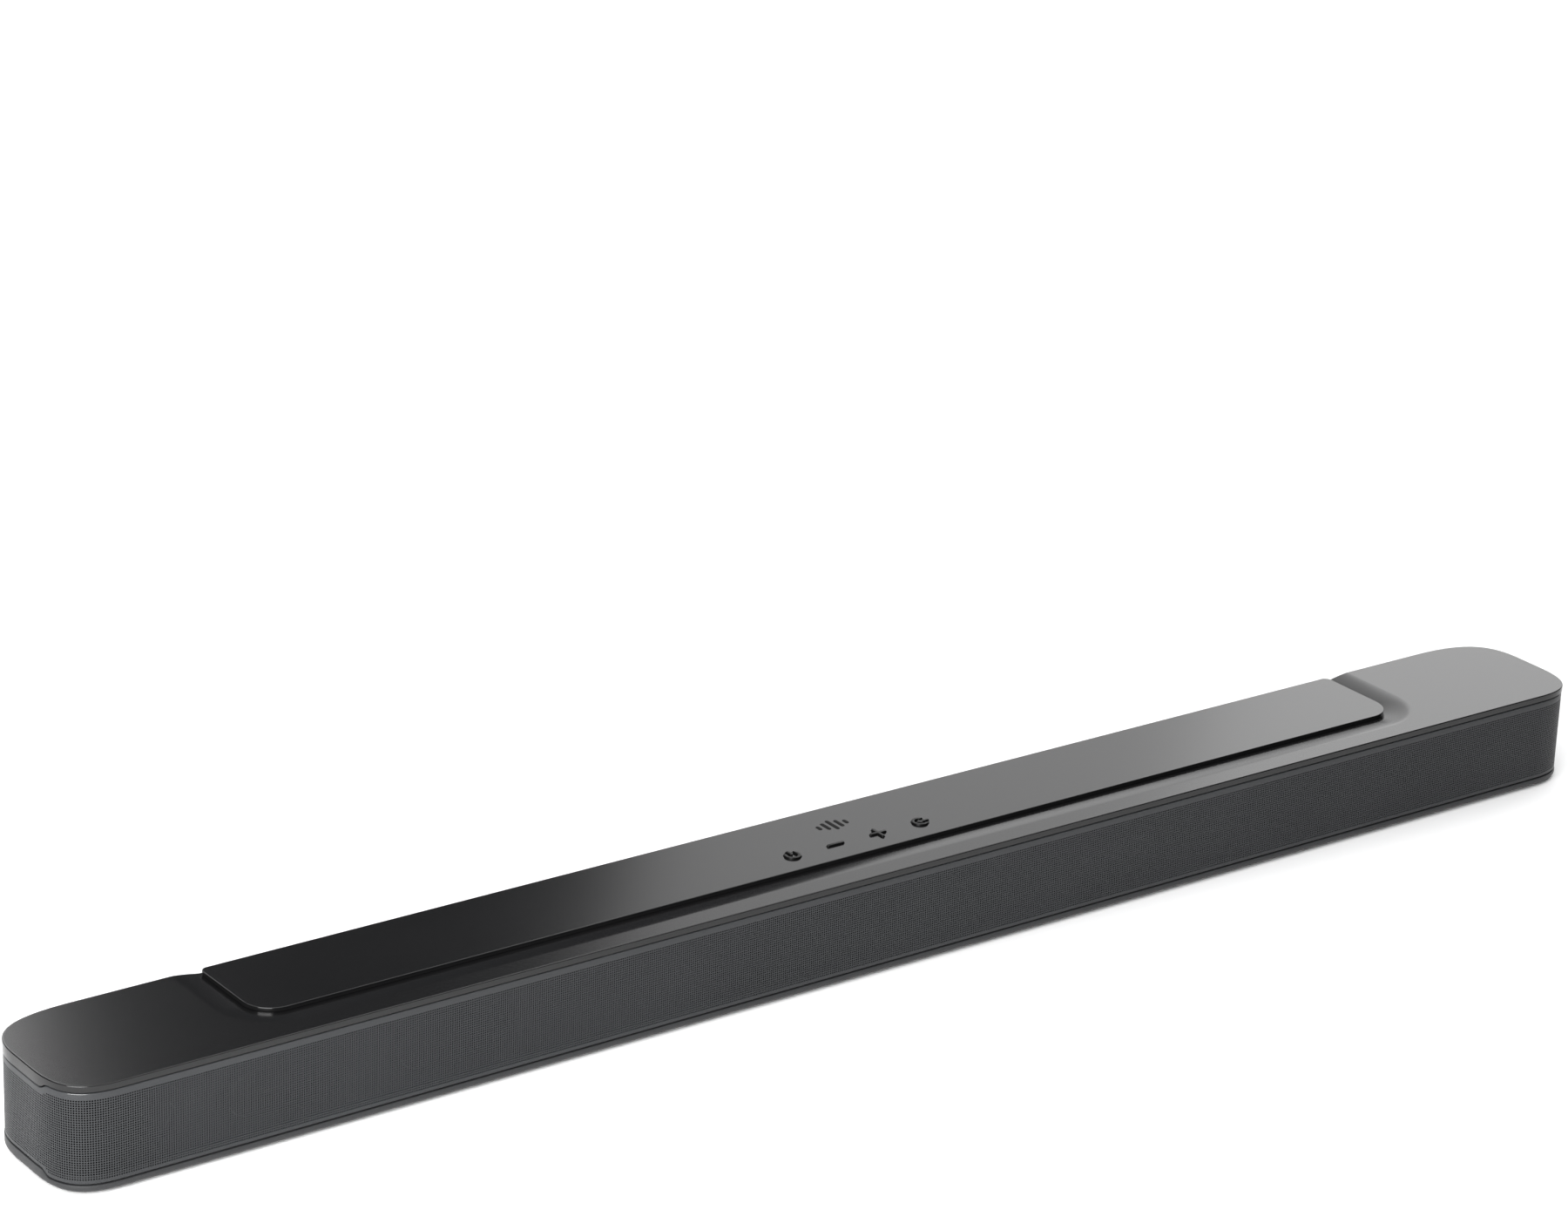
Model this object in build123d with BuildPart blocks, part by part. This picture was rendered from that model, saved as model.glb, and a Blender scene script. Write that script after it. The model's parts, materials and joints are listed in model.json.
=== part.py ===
"""Long, low powered soundbar with stereo racetrack woofers and dome tweeters.

Frame: X along the length, front grille faces -Y, +Z up.
The origin is the centre of the footprint on the surface the feet stand on. Millimetres.
"""
from build123d import *
import os

os.makedirs("parts", exist_ok=True)

# ---------------------------------------------------------------- overall sizes
LENGTH = 965.0          # end to end
DEPTH = 85.0            # grille to rear wall
TOP_Z = 57.0            # flat top of the pods, front strip and control plate
KEY_PROUD = 1.0         # key glyphs above the control plate
FOOT_H = 1.5            # rubber feet below the housing

# plan outline: squared-off corners, larger at the rear
FRONT_RX, FRONT_RY = 30.0, 32.0
REAR_RX, REAR_RY = 48.0, 34.0
SQUARE = 0.72           # handle length of the corner curves, 0.55 would be an ellipse

# ---------------------------------------------------------------- walls and seams
WALL = 2.2              # side wall of the mouldings
ROOF = 2.0              # top wall of the cover
FLOOR_Z = 3.7           # inside floor of the bottom housing
SEAM = 0.6              # shadow gap above and below the grille
SKIRT_Z = 53.5          # lower edge of the cover skirt along the front
BAND_Z = 5.5            # upper edge of the housing band along the front
STEP = 2.6              # skirt and band are this much taller on the ends and rear
STEP_Y0, STEP_Y1 = -DEPTH / 2 + 19.5, -DEPTH / 2 + 25.5
SPLIT_Y = DEPTH / 2 - 12.5   # the grille ends here, the rear panel starts
GRILLE_INSET = 0.3
GRILLE_T = 1.2
LIP_T = 1.9             # inner lips that locate grille and rear panel
EDGE_R = 2.7            # rounding under the housing
TOP_EDGE_R = 0.6

# ---------------------------------------------------------------- control plate and moat
POD_L = 117.5           # flat pods left and right of the plate
PLATE_HX = LENGTH / 2 - POD_L
STRIP_D = 27.2          # from the front to the plate
PLATE_Y0 = -DEPTH / 2 + STRIP_D   # the rear edge is flush with the rear wall
PLATE_T = 2.3
PLATE_R = 16.0
MOAT_W = 15.5           # sloping dish round the plate
KEY_PITCH = 27.5
KEY_XS = [(-1.5 + i) * KEY_PITCH for i in range(4)]
GLYPH_W = 1.7           # stroke width of the raised signs
KEY_GAP = 0.4
KEY_TRAVEL = 0.6
EMBLEM_Y = 21.5

# ---------------------------------------------------------------- drivers
AXIS_Z = 28.5           # height of every driver
TWEETER_X = LENGTH / 2 - 50.5
WOOFER_GAP = 94.0        # between the woofers of one side
WOOFER_OUT = TWEETER_X - 68.0
WOOFER_IN = WOOFER_OUT - WOOFER_GAP
WOOFER_XS = [-WOOFER_OUT, -WOOFER_IN, WOOFER_IN, WOOFER_OUT]
TWEETER_XS = [-TWEETER_X, TWEETER_X]
BAFFLE_Y0, BAFFLE_T = -DEPTH / 2 + 8.1, 2.5
GASKET_T = 0.6
FLANGE_T = 1.6
FLANGE_W, FLANGE_H = 82.0, 43.0
EDGE_W, EDGE_H = 70.0, 33.0      # opening in the woofer flange
CONE_W, CONE_H = 59.4, 22.4      # outer edge of the cone
COIL_R = 10.4
MAGNET_R = 21.0
TWEETER_R = 15.0

# ---------------------------------------------------------------- inside
POST_XS = [s * x for s in (-1, 1) for x in (WOOFER_IN - 46.0, WOOFER_IN + 47.0, WOOFER_OUT + 46.5)]
POST_YS = [-DEPTH / 2 + 15.5, DEPTH / 2 - 11.5]
CHAMBER_X = WOOFER_IN - 40.0     # walls of the speaker chambers
POST_R = 3.5
BOSS_TOP = 12.8
BOARD_Z = 12.0
BOARD_T = 1.6
BAY_X0, BAY_X1 = -92.0, 72.0
BAY_Y0 = DEPTH / 2 - 20.5
BAY_Z0, BAY_Z1 = 10.0, 42.0
BAY_WALL = 1.5
INLET_X, INLET_Z = 150.0, 26.0
MOUNT_X, MOUNT_Z = 200.0, 29.0   # two threaded wall-mount inserts
PANEL_X0, PANEL_X1 = BAY_X0 - 20.0, INLET_X + 38.0   # middle section of the rear wall, with every socket
PANEL_GAP = 0.3
INSERT_R, INSERT_L = 3.0, 8.0
KEYBOARD_Z = 44.4
KEYBOARD_HX = 1.5 * KEY_PITCH + 20.75
KEYBOARD_HY = 12.0
KEY_SCREWS = [(x, y) for x in (-KEYBOARD_HX + 8, KEYBOARD_HX - 8) for y in (-8, 8)]

HX, HY = LENGTH / 2, DEPTH / 2
FRONT_Y, REAR_Y = -HY, HY
MOAT_Z = TOP_Z - PLATE_T
DECK_Z = MOAT_Z - ROOF                    # underside of the cover below the plate
FLANGE_Y0 = BAFFLE_Y0 - GASKET_T - FLANGE_T
BACK_Y = FLANGE_Y0 + 23.6                 # back plate of the woofer basket
NECK_Y = FLANGE_Y0 + 12.6                 # small end of the cone
REAR_IN = REAR_Y - WALL


def plan(inset):
    """Plan outline of the whole bar, moved inwards all round."""
    hx, hy = HX - inset, HY - inset
    fx, fy, rx, ry = FRONT_RX - inset, FRONT_RY - inset, REAR_RX - inset, REAR_RY - inset
    s = 1 - SQUARE
    with BuildSketch() as sk:
        with BuildLine():
            Line((-hx + fx, -hy), (hx - fx, -hy))
            Bezier((hx - fx, -hy), (hx - s * fx, -hy), (hx, -hy + s * fy), (hx, -hy + fy))
            Line((hx, -hy + fy), (hx, hy - ry))
            Bezier((hx, hy - ry), (hx, hy - s * ry), (hx - s * rx, hy), (hx - rx, hy))
            Line((hx - rx, hy), (-hx + rx, hy))
            Bezier((-hx + rx, hy), (-hx + s * rx, hy), (-hx, hy - s * ry), (-hx, hy - ry))
            Line((-hx, hy - ry), (-hx, -hy + fy))
            Bezier((-hx, -hy + fy), (-hx, -hy + s * fy), (-hx + s * fx, -hy), (-hx + fx, -hy))
        make_face()
    return sk.sketch


def slab(inset, z0, z1):
    """Solid between two heights with the inset plan outline."""
    with BuildPart() as p:
        with BuildSketch(Plane.XY.offset(z0)):
            add(plan(inset))
        extrude(amount=z1 - z0)
    return p.part


def ring(outer, inner, z0, z1):
    """Wall that follows the plan outline."""
    with BuildPart() as p:
        with BuildSketch(Plane.XY.offset(z0)):
            add(plan(outer))
            add(plan(inner), mode=Mode.SUBTRACT)
        extrude(amount=z1 - z0)
    return p.part


def prism_x(points, half):
    """Profile in the YZ plane, extruded both ways along X."""
    with BuildPart() as p:
        with BuildSketch(Plane.YZ):
            with BuildLine():
                Polyline(*points, close=True)
            make_face()
        extrude(amount=half, both=True)
    return p.part


def block(x0, x1, y0, y1, z0, z1):
    with BuildPart() as p:
        with Locations(((x0 + x1) / 2, (y0 + y1) / 2, (z0 + z1) / 2)):
            Box(x1 - x0, y1 - y0, z1 - z0)
    return p.part


def rod_z(x, y, z0, z1, r):
    with BuildPart() as p:
        with Locations((x, y, (z0 + z1) / 2)):
            Cylinder(r, z1 - z0)
    return p.part


def rod_y(x, z, y0, y1, r):
    with BuildPart() as p:
        with Locations((x, (y0 + y1) / 2, z)):
            Cylinder(r, y1 - y0, rotation=(90, 0, 0))
    return p.part


def face_y(y):
    """Work plane square to Y at the given y; local x is X, local y is Z."""
    return Plane(origin=(0, y, 0), x_dir=(1, 0, 0), z_dir=(0, -1, 0))


def racetrack(x, z, w, h, y0, y1):
    """Slot-shaped solid between two depths."""
    with BuildPart() as p:
        with BuildSketch(face_y(y0)):
            with Locations((x, z)):
                SlotOverall(w, h)
        extrude(amount=-(y1 - y0))
    return p.part


def racetrack_loft(x, z, front, back, y0, y1):
    with BuildPart() as p:
        with BuildSketch(face_y(y0)):
            with Locations((x, z)):
                SlotOverall(*front)
        with BuildSketch(face_y(y1)):
            with Locations((x, z)):
                SlotOverall(*back)
        loft(ruled=True)
    return p.part


def finish(p, label):
    p.part.label = label
    export_step(p.part, f"parts/{label}.step")


# outline of the plate and of the moat around it, open to the rear
def island(grow, radius, rear):
    x, y0 = PLATE_HX + grow, PLATE_Y0 - grow
    with BuildSketch() as sk:
        with BuildLine():
            Line((x, rear), (-x, rear))
            Line((-x, rear), (-x, y0 + radius))
            RadiusArc((-x, y0 + radius), (-x + radius, y0), -radius)
            Line((-x + radius, y0), (x - radius, y0))
            RadiusArc((x - radius, y0), (x, y0 + radius), -radius)
            Line((x, y0 + radius), (x, rear))
        make_face()
    return sk.sketch


# ================================================================ top cover
with BuildPart() as top_cover:
    add(slab(0, SKIRT_Z - STEP, TOP_Z))
    fillet(top_cover.edges().group_by(Axis.Z)[-1], TOP_EDGE_R)
    add(slab(WALL, SKIRT_Z - STEP - 1, DECK_Z), mode=Mode.SUBTRACT)
    with BuildPart(mode=Mode.PRIVATE) as rim:
        add(slab(WALL, DECK_Z - 0.1, TOP_Z - ROOF))
        add(block(-PLATE_HX - 18, PLATE_HX + 18, PLATE_Y0 - 18, REAR_Y + 18, 40, 60), mode=Mode.SUBTRACT)
    add(rim.part, mode=Mode.SUBTRACT)
    # along the front the skirt is shallower than on the ends
    with BuildPart(mode=Mode.PRIVATE) as front_cut:
        add(ring(-1, WALL, 45, SKIRT_Z))
        add(prism_x([(FRONT_Y - 20, 40), (FRONT_Y - 20, SKIRT_Z), (STEP_Y0, SKIRT_Z),
                     (STEP_Y1, SKIRT_Z - STEP), (STEP_Y1, 40)], LENGTH), mode=Mode.INTERSECT)
    add(front_cut.part, mode=Mode.SUBTRACT)
    # dished moat round the control plate
    with BuildPart(mode=Mode.PRIVATE) as moat:
        with BuildSketch(Plane.XY.offset(MOAT_Z)):
            add(island(0.0, PLATE_R, REAR_Y + 27.5))
        with BuildSketch(Plane.XY.offset(TOP_Z)):
            add(island(MOAT_W, PLATE_R + MOAT_W, REAR_Y + 27.5))
        loft(ruled=True)
    add(moat.part, mode=Mode.SUBTRACT)
    # inner lip that locates the grille and the rear panel
    with BuildPart(mode=Mode.PRIVATE) as lip:
        add(ring(GRILLE_INSET + GRILLE_T, GRILLE_INSET + GRILLE_T + LIP_T, 48.5, DECK_Z + 0.3))
        with BuildPart(mode=Mode.PRIVATE) as rear_cut:
            add(ring(0, WALL, 40, SKIRT_Z - STEP))
            add(block(-LENGTH, LENGTH, -DEPTH - 15, SPLIT_Y - 0.6, 30, 60), mode=Mode.SUBTRACT)
        add(rear_cut.part, mode=Mode.SUBTRACT)
    add(lip.part)
    with BuildPart(mode=Mode.PRIVATE) as lip_up:
        add(ring(WALL - 0.1, GRILLE_INSET + GRILLE_T + LIP_T, DECK_Z, TOP_Z - ROOF + 0.2))
        add(block(-PLATE_HX - 16, PLATE_HX + 16, PLATE_Y0 - 16, REAR_Y + 18, 40, 60), mode=Mode.SUBTRACT)
    add(lip_up.part)
    # posts for the housing screws and the key board
    for px in POST_XS:
        for py in POST_YS:
            top = DECK_Z + 0.4 if abs(px) < PLATE_HX + 10 else TOP_Z - ROOF + 0.4
            add(rod_z(px, py, BOSS_TOP, top, POST_R))
            add(rod_z(px, py, BOSS_TOP - 1, BOSS_TOP + 14, 1.45), mode=Mode.SUBTRACT)
    for px, py in KEY_SCREWS:
        add(rod_z(px, py, KEYBOARD_Z + BOARD_T, DECK_Z + 0.4, 2.6))
        add(rod_z(px, py, KEYBOARD_Z, KEYBOARD_Z + 6.5, 1.05), mode=Mode.SUBTRACT)
    # clearance below the keys
    for kx in KEY_XS:
        add(block(kx - 8, kx + 8, -8, 8, 45, TOP_Z), mode=Mode.SUBTRACT)
finish(top_cover, "top_cover")

# ================================================================ glyph outlines
def glyph(kind, grow=0.0):
    """Raised sign of one key, centred on the origin; grow adds clearance."""
    w = GLYPH_W + 2 * grow
    with BuildSketch() as sk:
        if kind == "power":
            Circle(4.5 + grow)
            if grow == 0.0:
                Circle(4.5 - GLYPH_W, mode=Mode.SUBTRACT)
                with Locations((0, 3.6)):
                    Rectangle(4.6, 4.2, mode=Mode.SUBTRACT)
                with Locations((0, 2.7)):
                    SlotOverall(4.9, GLYPH_W, rotation=90)
            else:
                with Locations((0, 2.9)):
                    SlotOverall(5.3 + 2 * grow, w, rotation=90)
        elif kind == "minus":
            SlotOverall(10.7 + 2 * grow, w)
        elif kind == "plus":
            SlotOverall(10.4 + 2 * grow, w)
            SlotOverall(10.4 + 2 * grow, w, rotation=90)
        else:
            # ring open on the right with an arrow going in
            Circle(4.5 + grow)
            if grow == 0.0:
                Circle(4.5 - GLYPH_W + 0.2, mode=Mode.SUBTRACT)
                with Locations((4.0, 0)):
                    Rectangle(4.0, 5.4, mode=Mode.SUBTRACT)
                with Locations((2.45, 0)):
                    SlotOverall(6.3, 1.4)
                with BuildLine():
                    Polyline((0.5, 2.2), (-1.9, 0), (0.5, -2.2), close=True)
                make_face()
            else:
                with Locations((2.45, 0)):
                    SlotOverall(6.3 + 2 * grow, 1.4 + 2 * grow)
    return sk.sketch


KEYS = [("power", "power_key"), ("minus", "volume_down_key"),
        ("plus", "volume_up_key"), ("source", "source_key")]
PLUNGERS = ["power_plunger", "volume_down_plunger", "volume_up_plunger", "source_plunger"]

# ================================================================ control plate
with BuildPart() as control_plate:
    with BuildSketch(Plane.XY.offset(MOAT_Z)):
        add(island(0.0, PLATE_R, REAR_Y))
    extrude(amount=PLATE_T)
    fillet(control_plate.edges().filter_by(Axis.Z).group_by(Axis.Y)[-1], 4.0)
    chamfer(control_plate.edges().group_by(Axis.Z)[-1], 0.25)
    for kx, (kind, _) in zip(KEY_XS, KEYS):
        with BuildSketch(Plane.XY.offset(MOAT_Z - 1)):
            with Locations((kx, 0)):
                add(glyph(kind, KEY_GAP))
        extrude(amount=PLATE_T + 2, mode=Mode.SUBTRACT)
finish(control_plate, "control_plate")

# ================================================================ keys and their plungers
for kx, (kind, name) in zip(KEY_XS, KEYS):
    with BuildPart() as key:
        with BuildSketch(Plane.XY.offset(MOAT_Z - 1.3)):
            with Locations((kx, 0)):
                Rectangle(14, 14)
        extrude(amount=1.2)
        with BuildSketch(Plane.XY.offset(MOAT_Z - 0.5)):
            with Locations((kx, 0)):
                add(glyph(kind))
        extrude(amount=TOP_Z + KEY_PROUD - MOAT_Z + 0.5)
        if kind in ("power", "source"):
            with BuildSketch(Plane.XY.offset(MOAT_Z - 0.5)):
                with Locations((kx, 0)):
                    Circle(4.4)
            extrude(amount=PLATE_T + 0.4)
        add(rod_z(kx, 0, 50.2, MOAT_Z - 1, 2.0))
    finish(key, name)
for kx, name in zip(KEY_XS, PLUNGERS):
    with BuildPart() as plunger:
        add(rod_z(kx, 0, 48.5, 50.2, 1.75))
    finish(plunger, name)

# ================================================================ emblem: five plain level bars
with BuildPart() as emblem:
    for i, h in enumerate((4.6, 8.6, 12.0, 8.6, 4.6)):
        with BuildSketch(Plane.XY.offset(TOP_Z)):
            with Locations(((i - 2) * 4.3, EMBLEM_Y)):
                SlotOverall(h, 2.2, rotation=90)
        extrude(amount=0.15)
finish(emblem, "emblem")

# ================================================================ grille
with BuildPart() as front_grille:
    add(ring(GRILLE_INSET, GRILLE_INSET + GRILLE_T, 5, 54))
    z0, z1 = BAND_Z + SEAM, SKIRT_Z - SEAM
    add(prism_x([(FRONT_Y - 20, z0), (FRONT_Y - 20, z1), (STEP_Y0, z1), (STEP_Y1, z1 - STEP), (SPLIT_Y - SEAM, z1 - STEP),
                 (SPLIT_Y - SEAM, z0 + STEP), (STEP_Y1, z0 + STEP), (STEP_Y0, z0)], LENGTH),
        mode=Mode.INTERSECT)
finish(front_grille, "front_grille")

# ================================================================ rear panel: its left and right sections
with BuildPart() as rear_panel:
    add(ring(0, WALL, BAND_Z + STEP + SEAM, SKIRT_Z - STEP - SEAM))
    add(block(-LENGTH, LENGTH, -DEPTH - 15, SPLIT_Y, 0, 60), mode=Mode.SUBTRACT)
    add(block(PANEL_X0 - PANEL_GAP, PANEL_X1 + PANEL_GAP, SPLIT_Y, REAR_Y + 18, 0, 60), mode=Mode.SUBTRACT)
    for mx in (-MOUNT_X, MOUNT_X):
        add(rod_y(mx, MOUNT_Z, REAR_Y - INSERT_L - 1.5, REAR_IN + 0.5, INSERT_R + 2.0))
        add(rod_y(mx, MOUNT_Z, REAR_Y - INSERT_L, REAR_Y + 1, INSERT_R), mode=Mode.SUBTRACT)
        add(rod_y(mx, MOUNT_Z, REAR_Y - INSERT_L - 2.5, REAR_Y, 2.2), mode=Mode.SUBTRACT)
finish(rear_panel, "rear_panel")

with BuildPart() as mount_inserts:
    for mx in (-MOUNT_X, MOUNT_X):
        add(rod_y(mx, MOUNT_Z, REAR_Y - INSERT_L, REAR_Y, INSERT_R))
        add(rod_y(mx, MOUNT_Z, REAR_Y - INSERT_L - 1, REAR_Y + 1, 2.0), mode=Mode.SUBTRACT)
finish(mount_inserts, "mount_inserts")

# ================================================================ connector bay and ports
# name, centre x, outer width, outer height, cavity width, cavity height
PORTS = [("hdmi_in_port", -66.0, 15.4, 6.2, 14.2, 4.9), ("hdmi_out_port", -38.0, 15.4, 6.2, 14.2, 4.9),
         ("optical_port", -10.0, 13.0, 11.0, 9.4, 8.6), ("usb_port", 20.0, 14.0, 6.6, 12.6, 5.2)]
PORT_Z = BOARD_Z + BOARD_T
PORT_Y1 = BAY_Y0 + BAY_WALL
OPT_X = -10.0
OPT_ZC = PORT_Z + 5.5
FLAP_PIN_R = 0.6
FLAP_PIVOT_Y = PORT_Y1 - 1.2
FLAP_PIVOT_Z = OPT_ZC + 8.6 / 2 - 1.0
# middle section of the rear wall, moulded in one with the bay
with BuildPart() as connector_bay:
    add(block(BAY_X0, BAY_X1, BAY_Y0, REAR_Y, BAY_Z0, BAY_Z1))
    add(block(PANEL_X0, PANEL_X1, REAR_IN, REAR_Y, BAND_Z + STEP + SEAM, SKIRT_Z - STEP - SEAM))
    add(block(INLET_X - 10.2, INLET_X + 10.2, SPLIT_Y, REAR_Y + 18, INLET_Z - 6.7, INLET_Z + 6.7),
        mode=Mode.SUBTRACT)
    add(block(BAY_X0 + BAY_WALL, BAY_X1 - BAY_WALL, PORT_Y1, REAR_Y + 18, BAY_Z0 + BAY_WALL, BAY_Z1 - BAY_WALL),
        mode=Mode.SUBTRACT)
    for _, px, w, h, _, _ in PORTS:
        add(block(px - w / 2 - 0.2, px + w / 2 + 0.2, PORT_Y1 - 13.5, PORT_Y1 + 1, PORT_Z - 0.2, PORT_Z + h + 0.2),
            mode=Mode.SUBTRACT)
finish(connector_bay, "connector_bay")

for name, px, w, h, cw, ch in PORTS:
    with BuildPart() as port:
        zc = PORT_Z + h / 2
        depth = 13.0
        add(block(px - w / 2, px + w / 2, PORT_Y1 - 15, PORT_Y1, PORT_Z, PORT_Z + h))
        add(block(px - cw / 2, px + cw / 2, PORT_Y1 - depth, PORT_Y1 + 1, zc - ch / 2, zc + ch / 2),
            mode=Mode.SUBTRACT)
        if name.startswith("hdmi"):
            # lower corners of the mouth are cut off
            for s in (-1, 1):
                with BuildSketch(face_y(PORT_Y1 - depth)):
                    with BuildLine():
                        Polyline((px + s * cw / 2, zc - ch / 2), (px + s * cw / 2, zc - ch / 2 + 1.6),
                                 (px + s * (cw / 2 - 2.0), zc - ch / 2), close=True)
                    make_face()
                extrude(amount=-depth)
            add(block(px - 5.2, px + 5.2, PORT_Y1 - depth, PORT_Y1 - 2, zc - 0.5, zc + 0.4))
        elif name == "usb_port":
            add(block(px - 5.6, px + 5.6, PORT_Y1 - depth, PORT_Y1 - 2, zc + 0.2, zc + 2.0))
        else:
            add(rod_y(px, zc, PORT_Y1 - depth - 0.5, PORT_Y1 - 9.2, 1.3))
            # sockets for the pivot of the flap
            with BuildPart(mode=Mode.PRIVATE) as sockets:
                with Locations((px, FLAP_PIVOT_Y, FLAP_PIVOT_Z)):
                    Cylinder(FLAP_PIN_R + 0.05, 10.8, rotation=(0, 90, 0))
            add(sockets.part, mode=Mode.SUBTRACT)
    finish(port, name)

# flap at the mouth of the optical port; it hangs from a pivot at the top edge
with BuildPart() as optical_shutter:
    add(block(OPT_X - 4.3, OPT_X + 4.3, FLAP_PIVOT_Y - 0.4, FLAP_PIVOT_Y + 0.4, OPT_ZC - 3.9, FLAP_PIVOT_Z))
    with Locations((OPT_X, FLAP_PIVOT_Y, FLAP_PIVOT_Z)):
        Cylinder(FLAP_PIN_R, 10.4, rotation=(0, 90, 0))
finish(optical_shutter, "optical_shutter")

# mains inlet, figure-eight type
with BuildPart() as ac_inlet:
    add(block(INLET_X - 10, INLET_X + 10, REAR_Y - 18.5, REAR_Y, INLET_Z - 6.5, INLET_Z + 6.5))
    add(block(INLET_X - 14, INLET_X + 14, REAR_IN - 2.0, REAR_IN, INLET_Z - 9, INLET_Z + 9))
    with BuildSketch(face_y(REAR_Y + 1)):
        with Locations((INLET_X, INLET_Z)):
            SlotOverall(16.6, 9.0)
    extrude(amount=14.0, mode=Mode.SUBTRACT)
    for s in (-4.3, 4.3):
        add(rod_y(INLET_X + s, INLET_Z, REAR_Y - 14, REAR_Y - 4, 1.2))
finish(ac_inlet, "ac_inlet")

# ================================================================ bottom housing
BOARDS = {  # x0, x1, y0, y1, screw inset
    "main": (-110.0, 86.0, FRONT_Y + 17.5, BAY_Y0 - 1.6), "power": (100.0, 216.0, FRONT_Y + 20.5, REAR_Y - 8.5),
    "amp": (-216.0, -120.0, FRONT_Y + 20.5, REAR_Y - 15.5)}


def board_holes(b, inset=5.5):
    x0, x1, y0, y1 = b
    return [(x, y) for x in (x0 + inset, x1 - inset) for y in (y0 + inset, y1 - inset)]


with BuildPart() as bottom_housing:
    add(slab(0, FOOT_H, BAND_Z + STEP))
    fillet(bottom_housing.edges().group_by(Axis.Z)[0], EDGE_R)
    add(slab(WALL, FLOOR_Z, 60), mode=Mode.SUBTRACT)
    add(prism_x([(FRONT_Y - 20, BAND_Z), (STEP_Y0, BAND_Z), (STEP_Y1, BAND_Z + STEP), (STEP_Y1, 60), (FRONT_Y - 20, 60)], LENGTH),
        mode=Mode.SUBTRACT)
    with BuildPart(mode=Mode.PRIVATE) as low_lip:
        add(ring(GRILLE_INSET + GRILLE_T, GRILLE_INSET + GRILLE_T + LIP_T, FLOOR_Z - 0.2, 9.8))
        with BuildPart(mode=Mode.PRIVATE) as low_cut:
            add(ring(0, WALL, BAND_Z + STEP, 20))
            add(block(-LENGTH, LENGTH, -DEPTH - 15, SPLIT_Y - 0.6, 0, 60), mode=Mode.SUBTRACT)
        add(low_cut.part, mode=Mode.SUBTRACT)
    add(low_lip.part)
    for px in POST_XS:
        for py in POST_YS:
            add(rod_z(px, py, FLOOR_Z - 0.2, BOSS_TOP, 4.0))
            add(rod_z(px, py, 0, BOSS_TOP + 1, 1.7), mode=Mode.SUBTRACT)
            add(rod_z(px, py, 0, 4.0, 3.3), mode=Mode.SUBTRACT)
    for b in BOARDS.values():
        for bx, by in board_holes(b):
            add(rod_z(bx, by, FLOOR_Z - 0.2, BOARD_Z, 3.0))
            add(rod_z(bx, by, FLOOR_Z + 0.6, BOARD_Z + 1, 1.25), mode=Mode.SUBTRACT)
    # walls of the two speaker chambers and locating ribs for the baffle
    for s in (-1, 1):
        add(block(s * CHAMBER_X - 1, s * CHAMBER_X + 1, BAFFLE_Y0 + BAFFLE_T + 0.1, REAR_Y - 3.5, FLOOR_Z - 0.2, DECK_Z - 0.7))
        with BuildPart(mode=Mode.PRIVATE) as lead_hole:
            with Locations((s * CHAMBER_X, 16, 20)):
                Cylinder(3.0, 6, rotation=(0, 90, 0))
        add(lead_hole.part, mode=Mode.SUBTRACT)
        for rx in (100, WOOFER_IN + 47, TWEETER_X + 23):
            add(block(s * rx - 4, s * rx + 4, BAFFLE_Y0 - 1.8, BAFFLE_Y0, FLOOR_Z - 0.2, 9.0))
            add(block(s * rx - 4, s * rx + 4, BAFFLE_Y0 + BAFFLE_T, BAFFLE_Y0 + BAFFLE_T + 1.8, FLOOR_Z - 0.2, 9.0))
    # air slots below the amplifier and the power supply
    for vx in [-195 + 9 * i for i in range(7)] + [122 + 9 * i for i in range(9)]:
        add(block(vx - 1.2, vx + 1.2, -10, 12, 0, FLOOR_Z + 0.5), mode=Mode.SUBTRACT)
finish(bottom_housing, "bottom_housing")

with BuildPart() as rubber_feet:
    with BuildSketch(Plane.XY):
        for fx in (-WOOFER_OUT, WOOFER_OUT):
            for fy in (-HY + 16.5, HY - 16.5):
                with Locations((fx, fy)):
                    SlotOverall(60, 10)
    extrude(amount=FOOT_H)
finish(rubber_feet, "rubber_feet")


def cross(x, y, z, up, s=1.0):
    """Cross recess cutter for a screw head facing up or down."""
    d = 1.0
    z0, z1 = (z - d, z + 0.2) if up else (z - 0.2, z + d)
    with BuildPart() as p:
        add(block(x - 1.5 * s, x + 1.5 * s, y - 0.35 * s, y + 0.35 * s, z0, z1))
        add(block(x - 0.35 * s, x + 0.35 * s, y - 1.5 * s, y + 1.5 * s, z0, z1))
    return p.part


with BuildPart() as housing_screws:
    for px in POST_XS:
        for py in POST_YS:
            add(rod_z(px, py, 1.9, 4.0, 2.9))
            add(rod_z(px, py, 3.9, 26.0, 1.4))
            add(cross(px, py, 1.9, False), mode=Mode.SUBTRACT)
finish(housing_screws, "housing_screws")

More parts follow.
